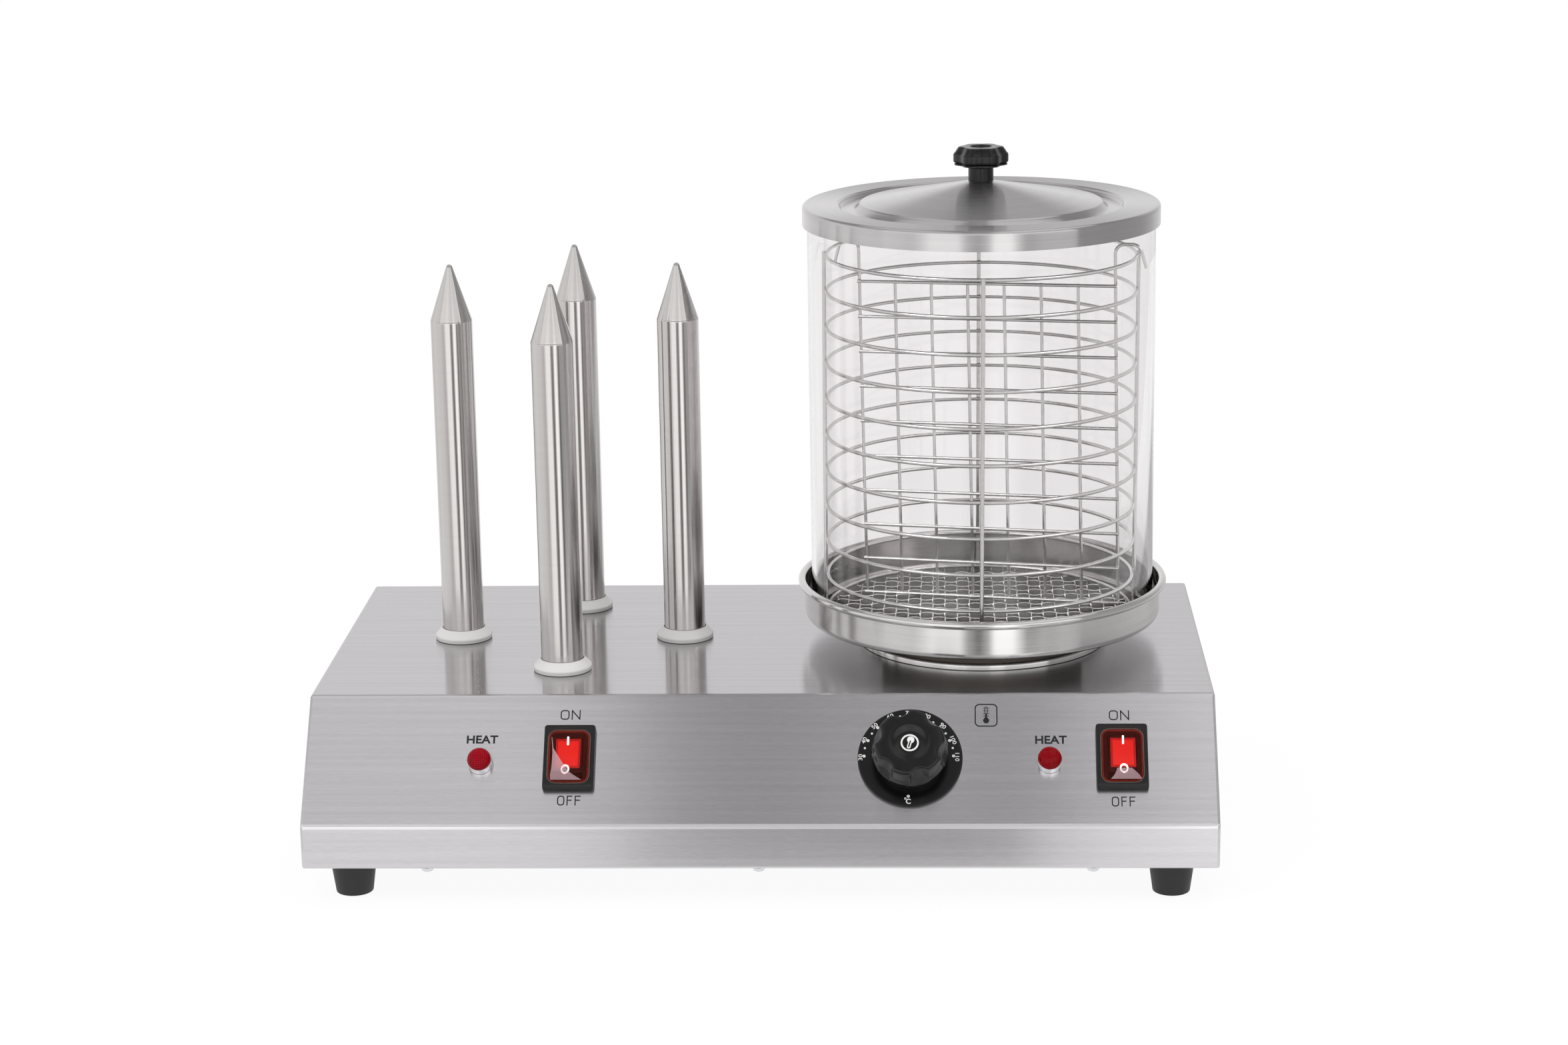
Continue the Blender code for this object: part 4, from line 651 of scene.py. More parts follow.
ring_top = heights("hotplate_ring")[1]
profile = [(54.4, ring_top), (69.5, ring_top)] + bend((70.2, ring_top - 1.8), 1.8, 90, -90, 6)[1:]
profile += [(72.0, 0.35), (71.2, 0.35), (71.0, ring_top - 2.0)]
profile += [(radius, ring_top - 1.0) for radius in (69.4, 54.4)]
turned_piece("hotplate_trim_ring", profile, 128, ring_steel, "base", "polished_wire", ["hotplate_ring"])

plate_top = heights("hotplate")[1]
profile = [(0, plate_top), (56.6, plate_top)] + bend((56.8, plate_top - 1.2), 1.2, 90, -90, 5)[1:]
profile += [(58.0, ring_top + 0.35), (54.0, ring_top + 0.35), (54.0, -8.0), (0, -8.0)]
turned_piece("hotplate_disc", profile, 96, hot_metal, "base", "heater_metal", ["hotplate"])

# %% [markdown]
# ## Glass and lid
# The glass is a plain tube with fire-polished lips. The lid is pressed from one sheet: a rim that
# drops over the glass, a flat band, a stiffening groove, and a shallow cone up to the knob's seat.

# %% Turn the glass and the lid
GLASS_OUT, GLASS_IN, LIP = 98.5, 96.0, 1.2
glass_low, glass_high = heights("glass_cylinder")
wall, half = (GLASS_OUT + GLASS_IN) / 2, (GLASS_OUT - GLASS_IN) / 2
profile = [(GLASS_OUT, glass_low + LIP), (GLASS_OUT, glass_high - LIP)]
profile += bend((wall, glass_high - half), half, 0, 180, 8)[1:-1]
profile += [(GLASS_IN, glass_high - LIP), (GLASS_IN, glass_low + LIP)]
profile += bend((wall, glass_low + half), half, 180, 180, 8)[1:-1]
turned_piece("glass_tube", profile, 160, clear_glass, "glass", "clear_glass", ["glass_cylinder"])

LID_RADIUS, CONE_RISE = 101.1, 12.2
lid_low, lid_high = heights("lid")
crown = lid_high - CONE_RISE
top = [(2.6, lid_high), (7.5, lid_high), (67.0, crown + 1.0)]
top += bend((67.2, crown - 1.0), 2.0, 80, -60, 4) + [(70.6, crown - 2.0)]
top += bend((72.2, crown - 1.0), 1.8, 215, 55, 4) + bend((78.4, crown - 1.0), 1.8, 270, 50, 4)
top += [(80.4, crown - 0.7)] + bend((82.2, crown - 1.4), 1.4, 140, -50, 4)
top += bend((LID_RADIUS - 2, crown - 2.0), 2.0, 90, -90, 8) + [(LID_RADIUS, lid_low)]
under = [(LID_RADIUS - SHEET, lid_low)] + bend((LID_RADIUS - 2, crown - 2.0), 2 - SHEET, 0, 90, 6)
under += [(82.4, crown - 0.8), (80.0, crown - 1.6), (78.4, crown - 3.6), (72.2, crown - 3.6),
          (70.2, crown - 2.6), (68.6, crown - 0.9), (66.8, crown + 0.15), (7.5, lid_high - SHEET),
          (2.6, lid_high - SHEET)]
turned_piece("lid_pressing", top + under, 160, lid_steel, "lid", "brushed_steel", ["lid"], smooth=50)

# %% [markdown]
# ## The knob on the lid
# A six-lobed knob in black plastic. The turned profile gives its flat head and neck, and a cosine
# round the turn pulls it in between the lobes, only on the head.

# %% Lobed knob
LOBES, LOBE_DEPTH = 6, 2.2
knob_low, knob_high = heights("lid_knob")
head = knob_low + 8.8
profile = [(0, knob_high - 1.6), (5.2, knob_high - 1.6), (6.0, knob_high - 0.4), (6.5, knob_high)]
profile += [(10.6, knob_high)] + bend((11.4, knob_high - 2.2), 2.2, 88, -38, 4) + [(14.6, knob_high - 3.2)]
profile += bend((14.0, knob_high - 4.8), 1.55, 50, -50, 4) + [(15.55, head + 3.0)]
profile += bend((14.35, head + 2.6), 1.2, 0, -70, 4)
profile += [(14.4, head + 1.2), (14.9, head + 0.9), (14.9, head + 0.1), (13.6, head), (7.6, head - 0.6),
            (7.1, head - 1.2), (7.1, knob_low), (2.6, knob_low), (2.6, knob_low + 9.8), (0, knob_low + 9.8)]


def ramp(value, start, run):
    """0 at start, 1 after the run, and held outside."""
    return min(max((value - start) / run, 0), 1)


def lobed(radius, height, angle):
    return radius - LOBE_DEPTH * (1 - math.cos(LOBES * angle)) / 2 * ramp(radius, 8, 6)


turned_piece("lid_knob_moulded", profile, 120, black_plastic, "lid", "black_plastic", ["lid_knob"],
             radius_at=lobed)

# %% [markdown]
# ## Spikes, collars, feet and screws
# Four heated spikes stand in a diamond, each in a soft collar. They are equal, so one is turned
# and a tree sets copies of it on the corners of a circle or a rectangle. The same tree places the
# collars, the feet and the screws under the skirt's edge.

# %% A tree that sets copies on a diamond or a grid
DIAMOND = 0.065
spread_tree, size = new_tree("copies_on_corners", Diamond_radius=DIAMOND, Across=0.0, Back=0.0, Columns=2,
                             Rows=2)
ring = add(spread_tree, "GeometryNodeMeshCircle", {"Vertices": 4, "Radius": size["Diamond radius"]})
grid = add(spread_tree, "GeometryNodeMeshGrid", {"Size X": size["Across"], "Size Y": size["Back"],
                                                 "Vertices X": size["Columns"], "Vertices Y": size["Rows"]})
is_ring = add(spread_tree, "FunctionNodeCompare", {0: size["Diamond radius"], 1: 0.0},
              operation="GREATER_THAN")
spots = add(spread_tree, "GeometryNodeSwitch", {"Switch": is_ring, "False": grid, "True": ring},
            input_type="GEOMETRY")
copies = add(spread_tree, "GeometryNodeInstanceOnPoints", {"Points": spots, "Instance": size["Geometry"]})
close_tree(spread_tree, copies, spike_steel)


def spread(profile, sides, place=ORIGIN, **sizes):
    """Copies of one turned piece."""
    return grow(spread_tree, place, to_mesh(turned(profile, sides), "seed"), **sizes)


corner_names = ("front", "left", "right", "rear")
sides_of = [f"{row}_{column}" for row in ("front", "rear") for column in ("left", "right")]
spike_low, spike_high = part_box("spike_front")
spike_x = (spike_low.x + spike_high.x) / 2
spikes_place = on_deck(spike_x, STACK.y)
tip = (spike_high.z - DECK) / MM
profile = [(0, tip)] + bend((0.0, tip - 1.9), 1.9, 90, -72, 7)[1:]
profile += [(11.7, 190.2)] + bend((11.2, 189.2), 0.8, 45, -45, 3)
profile += [(12.0, 120), (12.0, 60), (12.0, -10), (10.8, -10), (10.8, 188.5), (0, 188.5)]
mesh = spread(profile, 64, spikes_place, Diamond_radius=DIAMOND)
piece("spikes_turned", mesh, spike_steel, "base", "spike_steel", [f"spike_{n}" for n in corner_names])

profile = [(12.3, 7.0), (12.7, 7.0), (16.3, 2.9)] + bend((15.7, 2.2), 0.85, 40, -50, 3)
profile += [(16.3, 0.35), (14.0, 0.35), (14.0, -1.0), (12.3, -1.0)]
mesh = spread(profile, 64, spikes_place, Diamond_radius=DIAMOND)
piece("collars_moulded", mesh, white_silicone, "base", "white_silicone",
      [f"spike_collar_{n}" for n in corner_names])

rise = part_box("foot_front_left")[1].z / MM
profile = [(5.5, 0), (9.4, 0)] + bend((9.5, 0.8), 0.8, -90, 84, 4)[1:] + [(12.8, rise - 0.4), (12.4, rise)]
profile += [(2.3, rise), (2.3, 11.0), (5.5, 11.0)]
mesh = spread(profile, 48, Diamond_radius=0.0, Across=0.451, Back=0.231, Columns=2, Rows=2)
piece("feet_moulded", mesh, black_rubber, "base", "black_rubber", [f"foot_{n}" for n in sides_of])

screw_low, screw_high = (corner.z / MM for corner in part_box("base_screw_front_1"))
profile = [(0, screw_low + 0.25), (0.9, screw_low + 0.25), (1.1, screw_low)]
profile += bend((1.6, screw_low + 2.0), 2.0, -90, 75, 5)[1:]
profile += [(3.6, screw_low + 2.5), (1.5, screw_low + 2.5), (1.5, screw_high), (0, screw_high)]
mesh = spread(profile, 24, Diamond_radius=0.0, Across=0.364, Back=0.262, Columns=3, Rows=2)
piece("base_screws_turned", mesh, chrome_plate, "base", "chrome",
      [f"base_screw_{row}_{n}" for row in ("front", "rear") for n in (1, 2, 3)])

# %% [markdown]
# ## Flat outlines and printed marks
# Marks on the panel are screen-printed, so they are a few hundredths of a millimetre thick. Each
# is a flat outline or a word with a hair of thickness, made a mesh first and then laid on the
# panel. Words come from a text curve, which keeps true letter shapes. Everything flat or lofted is
# the same thing underneath: rows of points with a wall between each row and the next.

# %% Words, plates and rings
def printed(text, height, place, thick=0.06, heavy=0.0, width=None):
    """Word of the given height, and width if one is given, in millimetres, centred on its place."""
    curve = bpy.data.curves.new("word", "FONT")
    curve.body, curve.size, curve.extrude, curve.offset = text, 1.0, 0.0, heavy
    curve.align_x, curve.resolution_u = "CENTER", 4
    item = into_scene("word", curve)
    graph = bpy.context.evaluated_depsgraph_get()
    mesh = bpy.data.meshes.new_from_object(item.evaluated_get(graph))
    bpy.data.objects.remove(item, do_unlink=True)
    shape = bmesh.new()
    shape.from_mesh(mesh)
    bmesh.ops.remove_doubles(shape, verts=shape.verts, dist=1e-5)
    lows = [min(v.co[i] for v in shape.verts) for i in (0, 1)]
    highs = [max(v.co[i] for v in shape.verts) for i in (0, 1)]
    tall = height / (highs[1] - lows[1])
    wide = width / (highs[0] - lows[0]) if width else tall
    for vert in shape.verts:
        vert.co = Vector(((vert.co.x - (lows[0] + highs[0]) / 2) * wide,
                          (vert.co.y - (lows[1] + highs[1]) / 2) * tall, 0)) * MM
    grown = bmesh.ops.extrude_face_region(shape, geom=shape.faces[:])
    upper = [v for v in grown["geom"] if isinstance(v, bmesh.types.BMVert)]
    bmesh.ops.translate(shape, vec=(0, 0, thick * MM), verts=upper)
    bmesh.ops.transform(shape, matrix=place, verts=shape.verts)
    return shape


def joined(shapes):
    """One bmesh from several."""
    whole = bmesh.new()
    for shape in shapes:
        mesh = to_mesh(shape, "part", outward=False)
        whole.from_mesh(mesh)
        bpy.data.meshes.remove(mesh)
    return whole


def laid(shape, rows, place):
    """Rows of points in millimetres as rows of vertices."""
    return [[shape.verts.new(place @ (Vector(spot) * MM)) for spot in row] for row in rows]


def walls(shape, pairs):
    """Faces all round between the two rows of each pair."""
    for near, far in pairs:
        for i in range(len(near)):
            j = (i + 1) % len(near)
            shape.faces.new((near[i], near[j], far[j], far[i]))


def solid(rows, place):
    """Closed body through rows of points of equal count."""
    shape = bmesh.new()
    rows = laid(shape, rows, place)
    walls(shape, zip(rows, rows[1:]))
    shape.faces.new(rows[0][::-1])
    shape.faces.new(rows[-1])
    return shape


def raised(outline, height):
    return [(x, y, height) for x, y in outline]


def plate(outline, thick, place):
    """Flat closed outline in millimetres with a thickness."""
    return solid([raised(outline, 0), raised(outline, thick)], place)


def frame_of(outline, inner, thick, place):
    """Flat band between two outlines with the same number of points."""
    shape = bmesh.new()
    rows = [raised(line, z) for line, z in ((outline, 0), (outline, thick), (inner, thick), (inner, 0))]
    rows = laid(shape, rows, place)
    walls(shape, zip(rows, rows[1:] + rows[:1]))
    return shape


def rectangle(left, low, right, high):
    return [(left, low), (right, low), (right, high), (left, high)]


def rounded_box(width, height, radius, steps=8):
    points = []
    for quarter, (side, end) in enumerate(((1, 1), (-1, 1), (-1, -1), (1, -1))):
        centre = (side * (width / 2 - radius), end * (height / 2 - radius))
        points += bend(centre, radius, 90 * quarter, 90, steps)
    return points


print("a rounded box has", len(rounded_box(10, 10, 1)), "points")

# %% [markdown]
# ## Words on the steel
# The words that such a panel needs are generic: HEAT by each lamp, ON and OFF by each switch, and
# a thermometer by the dial. HEAT is printed bold, so its outline is moved out a little. ON and OFF
# are thin squared letters, which are built from strokes of one width.

# %% Print the panel
INK, INK_GAP, STROKE = 0.06, 0.03, 0.62
marks = []
for x, up in ((-152.4, 51.2), (159.7, 50.3)):
    marks.append(printed("HEAT", 4.8, on_panel(x, up, INK_GAP), heavy=0.026, width=17.3))


def bar_mark(start, end, place):
    """Straight stroke between two points in millimetres."""
    start, end = Vector(start), Vector(end)
    run = end - start
    side = Vector((-run.y, run.x)).normalized() * STROKE / 2
    return plate([tuple(c) for c in (start + side, start - side, end - side, end + side)], INK, place)


def letter(kind, left, right, tall, place):
    """O, N or F as strokes: the narrow squared letters of a switch panel."""
    low, high, half = -tall / 2, tall / 2, STROKE / 2
    if kind == "O":
        hollow = rounded_box(right - left - 2 * STROKE, tall - 2 * STROKE, 1.1)
        middle = shifted(place, (left + right) / 2)
        return [frame_of(rounded_box(right - left, tall, 1.7), hollow, INK, middle)]
    strokes = [((left + half, low), (left + half, high))]
    if kind == "N":
        strokes += [((right - half, low), (right - half, high)),
                    ((left + half, high - half), (right - half, low + half))]
    else:
        strokes += [((left + STROKE, high - half), (right, high - half)),
                    ((left + STROKE, 0.2), (right - 0.3, 0.2))]
    return [bar_mark(start, end, place) for start, end in strokes]


WORDS = (("ON", 0, ((-5.6, -0.7), (0.5, 5.4))), ("OFF", 1.0, ((-6.4, -2.4), (-1.2, 1.8), (3.2, 6.4))))
for x, ups in ((-104.2, (65.7, 15.2)), (197.2, (64.7, 14.2))):
    for (word, across, ends), up in zip(WORDS, ups):
        for kind, (left, right) in zip(word, ends):
            marks += letter(kind, left, right, 5.7, on_panel(x + across, up, INK_GAP))
seat = on_panel(124.45, 64.85, INK_GAP)
marks.append(frame_of(rounded_box(12.5, 13.5, 2.6), rounded_box(11.2, 12.2, 2.0), INK, seat))
marks.append(plate(circle(1.7, 24, (0, -3.1)), INK, seat))
marks.append(plate(rectangle(-0.62, -2.2, 0.62, 1.1), INK, seat))
stem, hollow = ([(-r, 1.1), (r, 1.1)] + bend((0, 4.2), r, 0, 180, 10) for r in (0.85, 0.38))
marks.append(frame_of(stem, hollow, INK, seat))
for tick in range(4):
    y = -0.5 + tick * 1.55
    for left, right in ((-1.65, -0.75), (0.75, 1.65)):
        marks.append(plate(rectangle(left, y - 0.16, right, y + 0.16), INK, seat))
piece("panel_print", joined(marks), grey_ink, "base", "black_plastic", smooth=30)

# %% [markdown]
# ## The thermostat's dial
# A thin black plate under the knob carries a scale in degrees Celsius. Figures stand with their
# tops outwards, 22 degrees of turn to every ten degrees of heat, with a large dot at each ten
# and a small one between.

# %% Dial plate with its scale
FACE, FIGURE = 2.1, 0.05
SCALE_START, TURN_PER_DEGREE = 178.0, 2.2
dial = on_panel(82.8, 39.2)
profile = [(5.3, FACE), (27.95, FACE)] + bend((27.95, 1.4), 0.7, 90, -90, 5)[1:] + [(28.65, 0.3), (5.3, 0.3)]
turned_piece("dial_disc", profile, 128, black_plastic, "base", "black_plastic", ["dial_plate"], place=dial)


def round_dial(angle, radius):
    """Place on the dial with the top of a figure outwards. The scale sits 0.7 mm left of the middle."""
    x, y = bend((-0.7, 0), radius, angle, 0, 1)[0]
    return shifted(dial, x, y, FACE) @ spun(angle - 90)


scale = []
for step in range(17):
    heat = 30 + 5 * step
    angle = SCALE_START - TURN_PER_DEGREE * 5 * step
    if heat % 10 == 0:
        lean = 1.6 * math.cos(math.radians(angle))
        wide = {2: 3.6, 3: 4.8}[len(str(heat))]
        scale.append(printed(str(heat), 2.3, round_dial(angle - lean, 26.4), FIGURE, heavy=0.01, width=wide))
        scale.append(plate(circle(0.85, 20), FIGURE, round_dial(angle, 24.4)))
    else:
        scale.append(plate(circle(0.62, 16), FIGURE, round_dial(angle, 24.6)))
scale.append(plate(circle(0.85, 20), FIGURE, shifted(dial, -1.0, -22.6, FACE)))
scale.append(frame_of(circle(0.62, 16), circle(0.32, 16), FIGURE, shifted(dial, -2.6, -23.9, FACE)))
scale.append(printed("C", 3.0, shifted(dial, -1.0, -25.5, FACE), FIGURE, heavy=0.02))
piece("dial_print", joined(scale), white_ink, "base", "black_plastic", smooth=30)

# %% [markdown]
# ## The thermostat's knob
# A moulded knob with six finger grooves that are deepest at the top and run out lower down, and a
# dished face with a small raised thermometer. It stands clear of the dial on a narrower neck. The
# grooves are cut by the same trick as the lobes on the lid: the radius is pulled in by a smooth
# function of angle and height.

# %% Knob with finger grooves
KNOB_GAP, KNOB_TOP, DISH, POINTER_TURN = 2.4, 22.5, 1.6, 255.7
GROOVE_HALF_WIDTH, GROOVE_DEPTH, GROOVE_FOOT = 5.6, 3.1, 9.8
knob_place = shifted(dial, z=KNOB_GAP) @ spun(POINTER_TURN)
profile = [(0, KNOB_TOP - DISH)]
for r in (5.8, 6.7, 7.6, 8.6, 9.6, 10.5, 11.4):
    profile.append((r, KNOB_TOP - DISH / 2 * (1 + math.cos(math.pi * (r - 5.8) / 5.6))))
profile += [(13.0, KNOB_TOP), (15.0, KNOB_TOP)]
profile += bend((16.9, KNOB_TOP - 2.3), 2.2, 88, -76, 7) + [(19.5, KNOB_TOP - 5)]
profile += [(19.9, KNOB_TOP - 8), (20.3, 13.2), (20.6, 12), (20.8, 10.9)] + bend((20.2, 9.9), 0.6, 0, -90, 4)
profile += [(18.9, 9.1), (18.7, 8.4), (18.7, 0), (3.3, 0), (3.3, 11.8), (0, 11.8)]


def gripped(radius, height, angle):
    """Six grooves of round section, the pointer half way between two of them."""
    off = 30 - abs((math.degrees(angle) + 30) % 60 - 30)
    chord = math.radians(off) * 20.3
    scoop = max(0.0, 1 - (chord / GROOVE_HALF_WIDTH) ** 2) ** 0.75
    depth = GROOVE_DEPTH * ramp(height, GROOVE_FOOT, KNOB_TOP - GROOVE_FOOT) ** 0.55
    return radius - depth * scoop * ramp(radius, 13.5, 5.5)


turned_piece("thermostat_knob_moulded", profile, 240, black_plastic, "thermostat_knob", "black_plastic",
             ["thermostat_knob"], place=knob_place, radius_at=gripped)

icon_place = shifted(dial, z=KNOB_GAP + KNOB_TOP - DISH)
slant = shifted(icon_place, 0.1) @ spun(-15)
icon = [frame_of(circle(4.9, 48), circle(4.0, 48), 0.35, icon_place),
        plate(circle(1.95, 28, (0, 1.75)), 0.38, slant),
        plate([(x, y - 1.2) for x, y in rounded_box(1.9, 4.4, 0.94)], 0.33, slant)]
piece("knob_symbol", joined(icon), white_ink, "thermostat_knob", "black_plastic", smooth=30)
line_place = shifted(knob_place, 14.2, -2.0, KNOB_TOP - 0.05)
lines = [plate([(x, y - 0.7) for x, y in rounded_box(0.7, 4.0, 0.34)], 0.42, slant),
         plate(rounded_box(5.6, 0.34, 0.16), 0.16, line_place),
         plate(rounded_box(0.3, 1.5, 0.14), 0.14, shifted(line_place, 2.2))]
piece("knob_pointer", joined(lines), black_plastic, "thermostat_knob", "black_plastic", smooth=30)

# %% [markdown]
# ## Rocker switches
# Each switch is a black frame that snaps into the panel, a red rocker on a cross pin, and a clear
# soft cover that keeps water out. The cover is a small blown dome, so it is lofted from outlines
# that shrink as they rise. A pale film inside it is a painted reflection: low on the right one,
# and across a corner of the left. The rocker is a bar with a hollow face, and its window, I and O
# lie on that face with small offsets of their own, as they were put in by hand. The O is drawn
# tall, because it lies on the part of the face that is turned away from a user in front.

# %% Frames, covers and rockers
SWITCHES = (("left", -103.8, (-0.5, -0.7, -1.4)), ("right", 198.0, (0.5, 0.6, 0.6)))
SWITCH_UP, FILM, ROCKER_REST = 39.0, 0.05, -8
HOLLOW, HOLLOW_RADIUS = (0, 46.5), 40.5
FRAME_ROWS = ((28.0, 38.2, 1.6, 0.3, 0), (28.0, 38.2, 1.6, 2.4, 0), (28.0, 38.2, 1.6, 3.9, 0.9),
              (27.6, 37.8, 1.5, 4.5, 1.4), (27.0, 37.2, 1.3, 4.8, 1.6), (18.6, 28.6, 0.8, 4.8, 0),
              (18.5, 28.5, 0.8, -8.2, 0))
# Pale film inside each cover, as rows of left, right, up and out in millimetres: a painted reflection.
SHEEN_PATCHES = {"left": ((-9.2, -8.9, 9.4, 9.9), (-8.5, -8.0, 3.0, 10.1), (-8.3, -6.4, 0.3, 10.1),
                  (-8.4, -4.6, -2.6, 10.1), (-8.5, -1.6, -7.2, 10.1), (-8.8, 0.6, -10.4, 10.0),
                  (-9.4, 3.6, -12.2, 8.4), (-9.3, 7.6, -14.2, 6.6)),
         "right": ((-3.2, 4.6, -9.2, 10.1), (-3.6, 6.4, -10.6, 9.7), (-4.6, 8.8, -12.4, 8.2),
                   (-6.6, 10.2, -14.2, 6.6))}
# Outer and inner box of each flat band, its thickness and its height.
SLEEVE_BANDS = (((22.4, 30.4, 4.2), (15.6, 25.4, 0.9), 0.15, 4.83),
                ((18.4, 28.4, 0.8), (15.6, 25.4, 0.9), 4.0, 0.8))
GLOW_BAND = ((22.3, 30.3, 4.2), (20.7, 28.4, 3.4), 0.1, 4.98)
# The band for the painted highlight round the cover's edge.
HIGHLIGHT_BAND = ((23.5, 31.5, 5.0), (22.7, 30.7, 4.6), 0.35, 4.85)


def band(place, outside, inside, thick, height):
    return frame_of(rounded_box(*outside), rounded_box(*inside), thick, shifted(place, z=height))


def shell(outer, inner, place):
    """Cup with a wall, from two stacks of rows that both start at its open edge."""
    shape = bmesh.new()
    stacks = [laid(shape, stack, place) for stack in (outer, inner)]
    for stack in stacks:
        walls(shape, zip(stack, stack[1:]))
        shape.faces.new(stack[-1])
    walls(shape, [(stacks[0][0], stacks[1][0])])
    return shape


def dome(width, height, corner, low, spring, top, roll):
    """Rows of a soft cover: straight sides up to spring, then a rolled edge to a flat top."""
    rows = [raised(rounded_box(width, height, corner), z) for z in (low, low + 0.3, spring)]
    for turn in (18, 36, 54, 72, 90):
        inset = roll * (1 - math.cos(math.radians(turn)))
        size = (width - 2 * inset, height - 2 * inset, corner - 0.5 * inset)
        rows.append(raised(rounded_box(*size), spring + (top - spring) * math.sin(math.radians(turn))))
    rows.append(raised(rounded_box(size[0] - 0.8, size[1] - 0.8, size[2] - 0.3), top))
    return rows


def bar(profile, width, edge, place):
    """Closed bar along X with a section in Y and Z, its ends eased by edge."""
    ends = ((-width / 2, edge), (-width / 2 + edge, 0), (width / 2 - edge, 0), (width / 2, edge))
    return solid([[(x, y, z - drop) for y, z in profile] for x, drop in ends], place)


def on_rocker(pivot, x, y):
    """Place on the rocker's hollow face, x and y in millimetres from its middle."""
    tilt = math.asin(y / HOLLOW_RADIUS)
    return shifted(pivot, x, y, HOLLOW[1] - 40.2 * math.cos(tilt) + 0.03) @ Matrix.Rotation(tilt, 4, "X")


for side, x, (window_shift, one_shift, ring_shift) in SWITCHES:
    place = on_panel(x, SWITCH_UP)
    rows = []
    for width, height, corner, out, lip in FRAME_ROWS:
        rows.append([(px, py + (lip if py < 0 else 0), out) for px, py in rounded_box(width, height, corner)])
    shank = solid([raised(rounded_box(24.0, 34.2, 0.8), out) for out in (-18.0, 0.28)], place)
    piece(f"switch_frame_moulded_{side}", joined([solid(rows, place), shank]), switch_black, "base",
          "black_plastic", [f"switch_frame_{side}"])
    lining = joined([band(place, *sizes) for sizes in SLEEVE_BANDS])
    piece(f"switch_lining_{side}", lining, dark_red, "base", "red_plastic", smooth=30)
    piece(f"switch_lining_glow_{side}", band(place, *GLOW_BAND), rim_red, "base", "red_plastic", smooth=30)
    # A thin pale ring round the cover's foot is a painted highlight of its rolled edge.
    bead_and_highlight = band(place, *HIGHLIGHT_BAND)
    piece(f"splash_cover_bead_{side}", bead_and_highlight, cover_highlight_ring, "base", "clear_plastic", smooth=30)
    # A pale film inside the cover paints its reflection.
    sheen_patch = [[(left, up, out), (right, up, out), (right, up, out + FILM), (left, up, out + FILM)]
            for left, right, up, out in SHEEN_PATCHES[side]]
    piece(f"splash_cover_fold_{side}", solid(sheen_patch, place), cover_sheen_film, "base", "clear_plastic", smooth=30)
    inside = dome(22.1, 30.1, 4.3, 5.1, 7.6, 10.5, 2.4)
    cover = shell(dome(23.6, 31.6, 5.0, 5.1, 8.0, 11.3, 2.8), inside, place)
    piece(f"splash_cover_moulded_{side}", cover, clear_cover, "base", "clear_plastic",
          [f"splash_cover_{side}"])

    pivot = shifted(place, z=-1.2) @ spun(ROCKER_REST, "X")
    hollow = bend(HOLLOW, HOLLOW_RADIUS, -90 - 17.2, 34.4, 12)
    body = bar(hollow + [(10.6, -1.4), (0, -4.4), (-10.6, -1.4)], 14.9, 0.35, pivot)
    piece(f"rocker_moulded_{side}", body, dark_red, f"rocker_{side}", "red_plastic", [f"rocker_{side}"])
    for name, radius, turn, width, look in (("edge", 40.32, 13.0, 13.7, edge_red),
                                            ("window", 40.2, 11.1, 11.3, red_plastic)):
        lit = bend(HOLLOW, radius, -90 - turn + 0.7, 2 * turn, 8)
        window = bar(lit + [(y, z - 0.5) for y, z in lit[::-1]], width, 0.12, pivot)
        bmesh.ops.translate(window, vec=(window_shift * MM, 0, 0), verts=window.verts)
        piece(f"rocker_{name}_{side}", window, look, f"rocker_{side}", "red_plastic")
    ovals = [[(px, 1.5 * py) for px, py in circle(radius, 32)] for radius in (2.3, 1.5)]
    signs = [plate(rectangle(-0.5, -2.4, 0.5, 2.4), 0.06, on_rocker(pivot, one_shift, 8.4)),
             frame_of(*ovals, 0.2, on_rocker(pivot, ring_shift, -9.6))]
    piece(f"rocker_signs_{side}", joined(signs), lit_mark, f"rocker_{side}", "red_plastic", smooth=30)

# %% [markdown]
# ## Signal lamps
# A chromed cup holds a red lens whose inside is cut in small facets to spread the light. The
# facets are drawn by the lens material, so the lens itself is one smooth dome. The left lens shows
# them and the right one looks plain.

# %% Lamps
def plan_map(shape, place):
    """A flat UV map in metres, seen straight onto the panel, for the lens's cut facets."""
    plan = shape.loops.layers.uv.new("plan")
    back = place.inverted()
    for face in shape.faces:
        for loop in face.loops:
            loop[plan].uv = (back @ loop.vert.co).xy
    return shape


LENS_RADIUS, LENS_RISE, LENS_FOOT = 6.5, 4.6, 5.6
for side, x, look in (("left", -152.9, lens_red), ("right", 158.7, plain_lens)):
    place = on_panel(x, 37.3)
    profile = [(0, 3.2), (6.56, 3.2), (6.56, 5.2), (6.6, 5.5)] + bend((6.65, 5.3), 0.2, 90, -90, 4)
    profile += [(6.85, 0.3), (4.3, 0.3), (4.3, -22.0), (0, -22.0)]
    turned_piece(f"lamp_cup_{side}", profile, 48, chrome_plate, "base", "chrome", [f"lamp_bezel_{side}"],
                 place=place)
    profile = [(0, LENS_FOOT + LENS_RISE)]
    for turn in range(10, 91, 10):
        angle = math.radians(turn)
        profile.append((LENS_RADIUS * math.sin(angle), LENS_FOOT + LENS_RISE * math.cos(angle)))
    profile += [(LENS_RADIUS, 3.6), (0, 3.6)]
    cut = plan_map(turned(profile, 48, place), place)
    piece(f"lamp_lens_cut_{side}", cut, look, "base", "red_plastic", [f"lamp_lens_{side}"])

# %% [markdown]
# ## Finishes on the nodes that stay
# The folded housing, the bottom plate and what is inside the base have the right shape already.
# They only need their finish, which goes into their own material slots.

